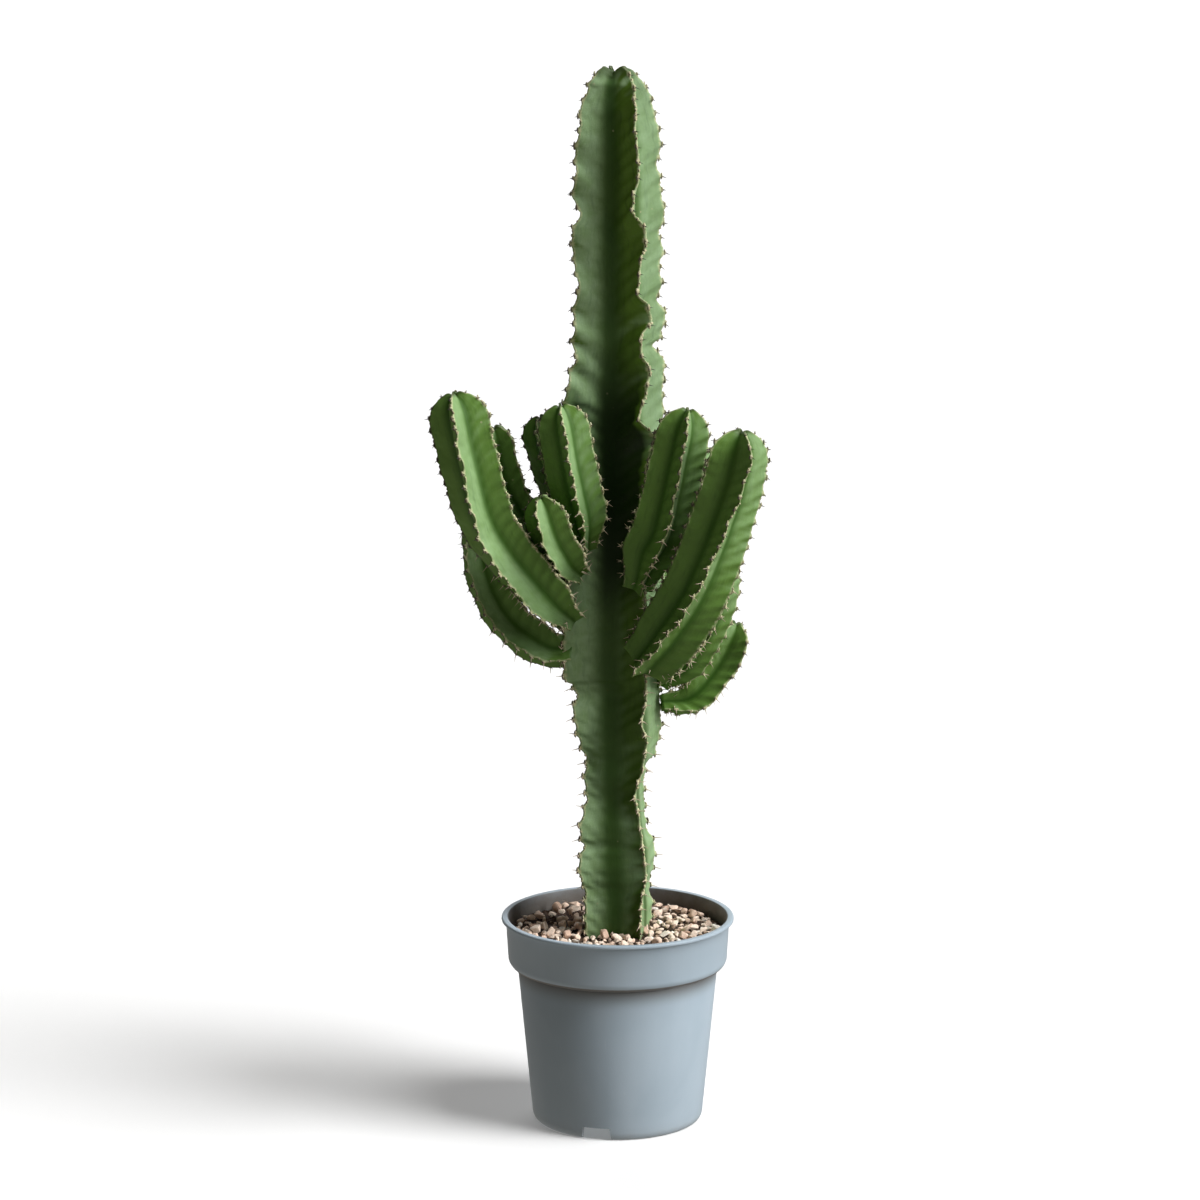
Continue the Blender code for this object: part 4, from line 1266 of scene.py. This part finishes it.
def make_camera():
    camera = bpy.data.objects.new("camera", bpy.data.cameras.new("camera"))
    camera.location = CAMERA_PLACE
    camera.rotation_euler = (math.radians(90 - CAMERA_PITCH), 0.0, 0.0)
    camera.data.lens = CAMERA_LENS
    camera.data.sensor_width = 36.0
    camera.data.clip_end = 500.0
    bpy.context.scene.collection.objects.link(camera)
    bpy.context.scene.camera = camera


def make_sun(name, azimuth, height, size, strength):
    lamp = bpy.data.lights.new(name, "SUN")
    lamp.energy = strength
    lamp.angle = math.radians(size)
    sun = bpy.data.objects.new(name, lamp)
    turn = math.radians(azimuth)
    rise = math.radians(height)
    toward = Vector((math.cos(rise) * math.cos(turn), math.cos(rise) * math.sin(turn), math.sin(rise)))
    sun.rotation_euler = toward.to_track_quat("Z", "Y").to_euler()
    bpy.context.scene.collection.objects.link(sun)


def make_light():
    """Two soft lights from the right, a weak one from behind, and fill that comes mostly from below."""
    for name, setting in SUNS.items():
        make_sun(name, *setting)
    world = bpy.data.worlds.new("fill")
    world.use_nodes = True
    tree = world.node_tree
    background = tree.nodes["Background"]
    background.inputs["Color"].default_value = (*FILL_COLOUR, 1.0)
    direction = tree.nodes.new("ShaderNodeTexCoord")
    parts = tree.nodes.new("ShaderNodeSeparateXYZ")
    level = tree.nodes.new("ShaderNodeMapRange")
    level.inputs["From Min"].default_value = -0.2
    level.inputs["From Max"].default_value = 0.1
    level.inputs["To Min"].default_value = FILL_BELOW
    level.inputs["To Max"].default_value = FILL_ABOVE
    tree.links.new(direction.outputs["Generated"], parts.inputs[0])
    tree.links.new(parts.outputs["Z"], level.inputs["Value"])
    tree.links.new(level.outputs["Result"], background.inputs["Strength"])
    bpy.context.scene.world = world


def stage_piece(name, bm, finish):
    """A part of the stage that the camera sees but that neither lights nor shades the object."""
    mesh = bpy.data.meshes.new(name)
    bm.to_mesh(mesh)
    bm.free()
    mesh.materials.append(finish)
    piece = bpy.data.objects.new(name, mesh)
    piece.visible_diffuse = False
    piece.visible_glossy = False
    piece.visible_shadow = False
    bpy.context.scene.collection.objects.link(piece)


def make_stage():
    """A plain white floor, and a white backdrop all round it."""
    paper = Nodes("floor_paper")
    fibre = paper.noise(paper.place(), 900.0, 2.0)
    colour = paper.mixed(fibre, (0.9, 0.9, 0.9), (0.915, 0.915, 0.915))
    paper.finish(colour, 0.9, paper.bump(fibre, 0.02, 0.0001))
    paper.shader.inputs["Specular IOR Level"].default_value = 0.0
    paper.shader.inputs["Emission Color"].default_value = (1.0, 1.0, 1.0, 1.0)
    paper.shader.inputs["Emission Strength"].default_value = FLOOR_GLOW
    bm = bmesh.new()
    bmesh.ops.create_circle(bm, cap_ends=True, segments=96, radius=60.0)
    stage_piece("floor", bm, paper.material)
    glow = Nodes("backdrop_paper")
    glow.shader.inputs["Base Color"].default_value = (0.0, 0.0, 0.0, 1.0)
    glow.shader.inputs["Specular IOR Level"].default_value = 0.0
    glow.shader.inputs["Emission Color"].default_value = (1.0, 1.0, 1.0, 1.0)
    glow.shader.inputs["Emission Strength"].default_value = 1.02
    bm = bmesh.new()
    bmesh.ops.create_uvsphere(bm, u_segments=48, v_segments=24, radius=80.0)
    stage_piece("backdrop", bm, glow.material)
    bpy.context.scene.view_settings.view_transform = "Standard"


def make_plant():
    stem_skin = skin(
        "stem_wax", (0.026, 0.075, 0.006), (0.11, 0.215, 0.022), (0.3, 0.445, 0.24),
        STEM_PAINTED_LIGHT_SIDE, (0.2, 0.55, 0.0), (0.0, 0.6), 0.92,
    )
    young_skin = skin(
        "branch_wax", (0.038, 0.11, 0.009), (0.115, 0.24, 0.026), (0.27, 0.42, 0.19),
        BRANCH_PAINTED_LIGHT_SIDE, (0.4, 0.82, 0.2), (0.4, 0.2),
    )
    horn = spine_horn()
    rng = random.Random(STEM_SEED)
    shoot = stem_shoot(rng)
    teeth = tooth_places(rng, shoot, STEM_TEETH, 46.0)
    skin_piece(
        "stem_body", rng, shoot, teeth, STEM_MARGIN, STEM_LEAN,
        stem_skin, "stem_skin", "main_stem",
    )
    heap = Heap("tip", "shield", "old")
    add_areoles(heap, rng, shoot, teeth, 1.1)
    settle(heap.piece("stem_spines", horn), "stem_skin")
    for index, (node, outline) in enumerate(BRANCHES.items()):
        rng = random.Random(BRANCH_SEED + index)
        shoot = branch_shoot(rng, *outline, STOUT_NECKS.get(node, BRANCH_NECK))
        teeth = tooth_places(rng, shoot, BRANCH_TEETH, 4.0)
        name = node.replace("branch_", "")
        skin_piece(
            f"{name}_shoot", rng, shoot, teeth, BRANCH_MARGIN, BRANCH_LEAN,
            young_skin, "branch_skin", node,
        )
        heap = Heap("tip", "shield", "old")
        add_areoles(heap, rng, shoot, teeth, 0.95)
        ring = int(np.abs(shoot.along - 6.0).argmin())
        reach = shoot.crests[ring].mean() * 0.8
        add_tuft(heap, rng, shoot.centres[ring], shoot.ahead[ring], reach, TUFT_SPINES)
        settle(heap.piece(f"{name}_spines", horn), "branch_skin")


make_camera()
make_light()
make_stage()
make_plant()
make_pot()
make_soil()
make_gravel()
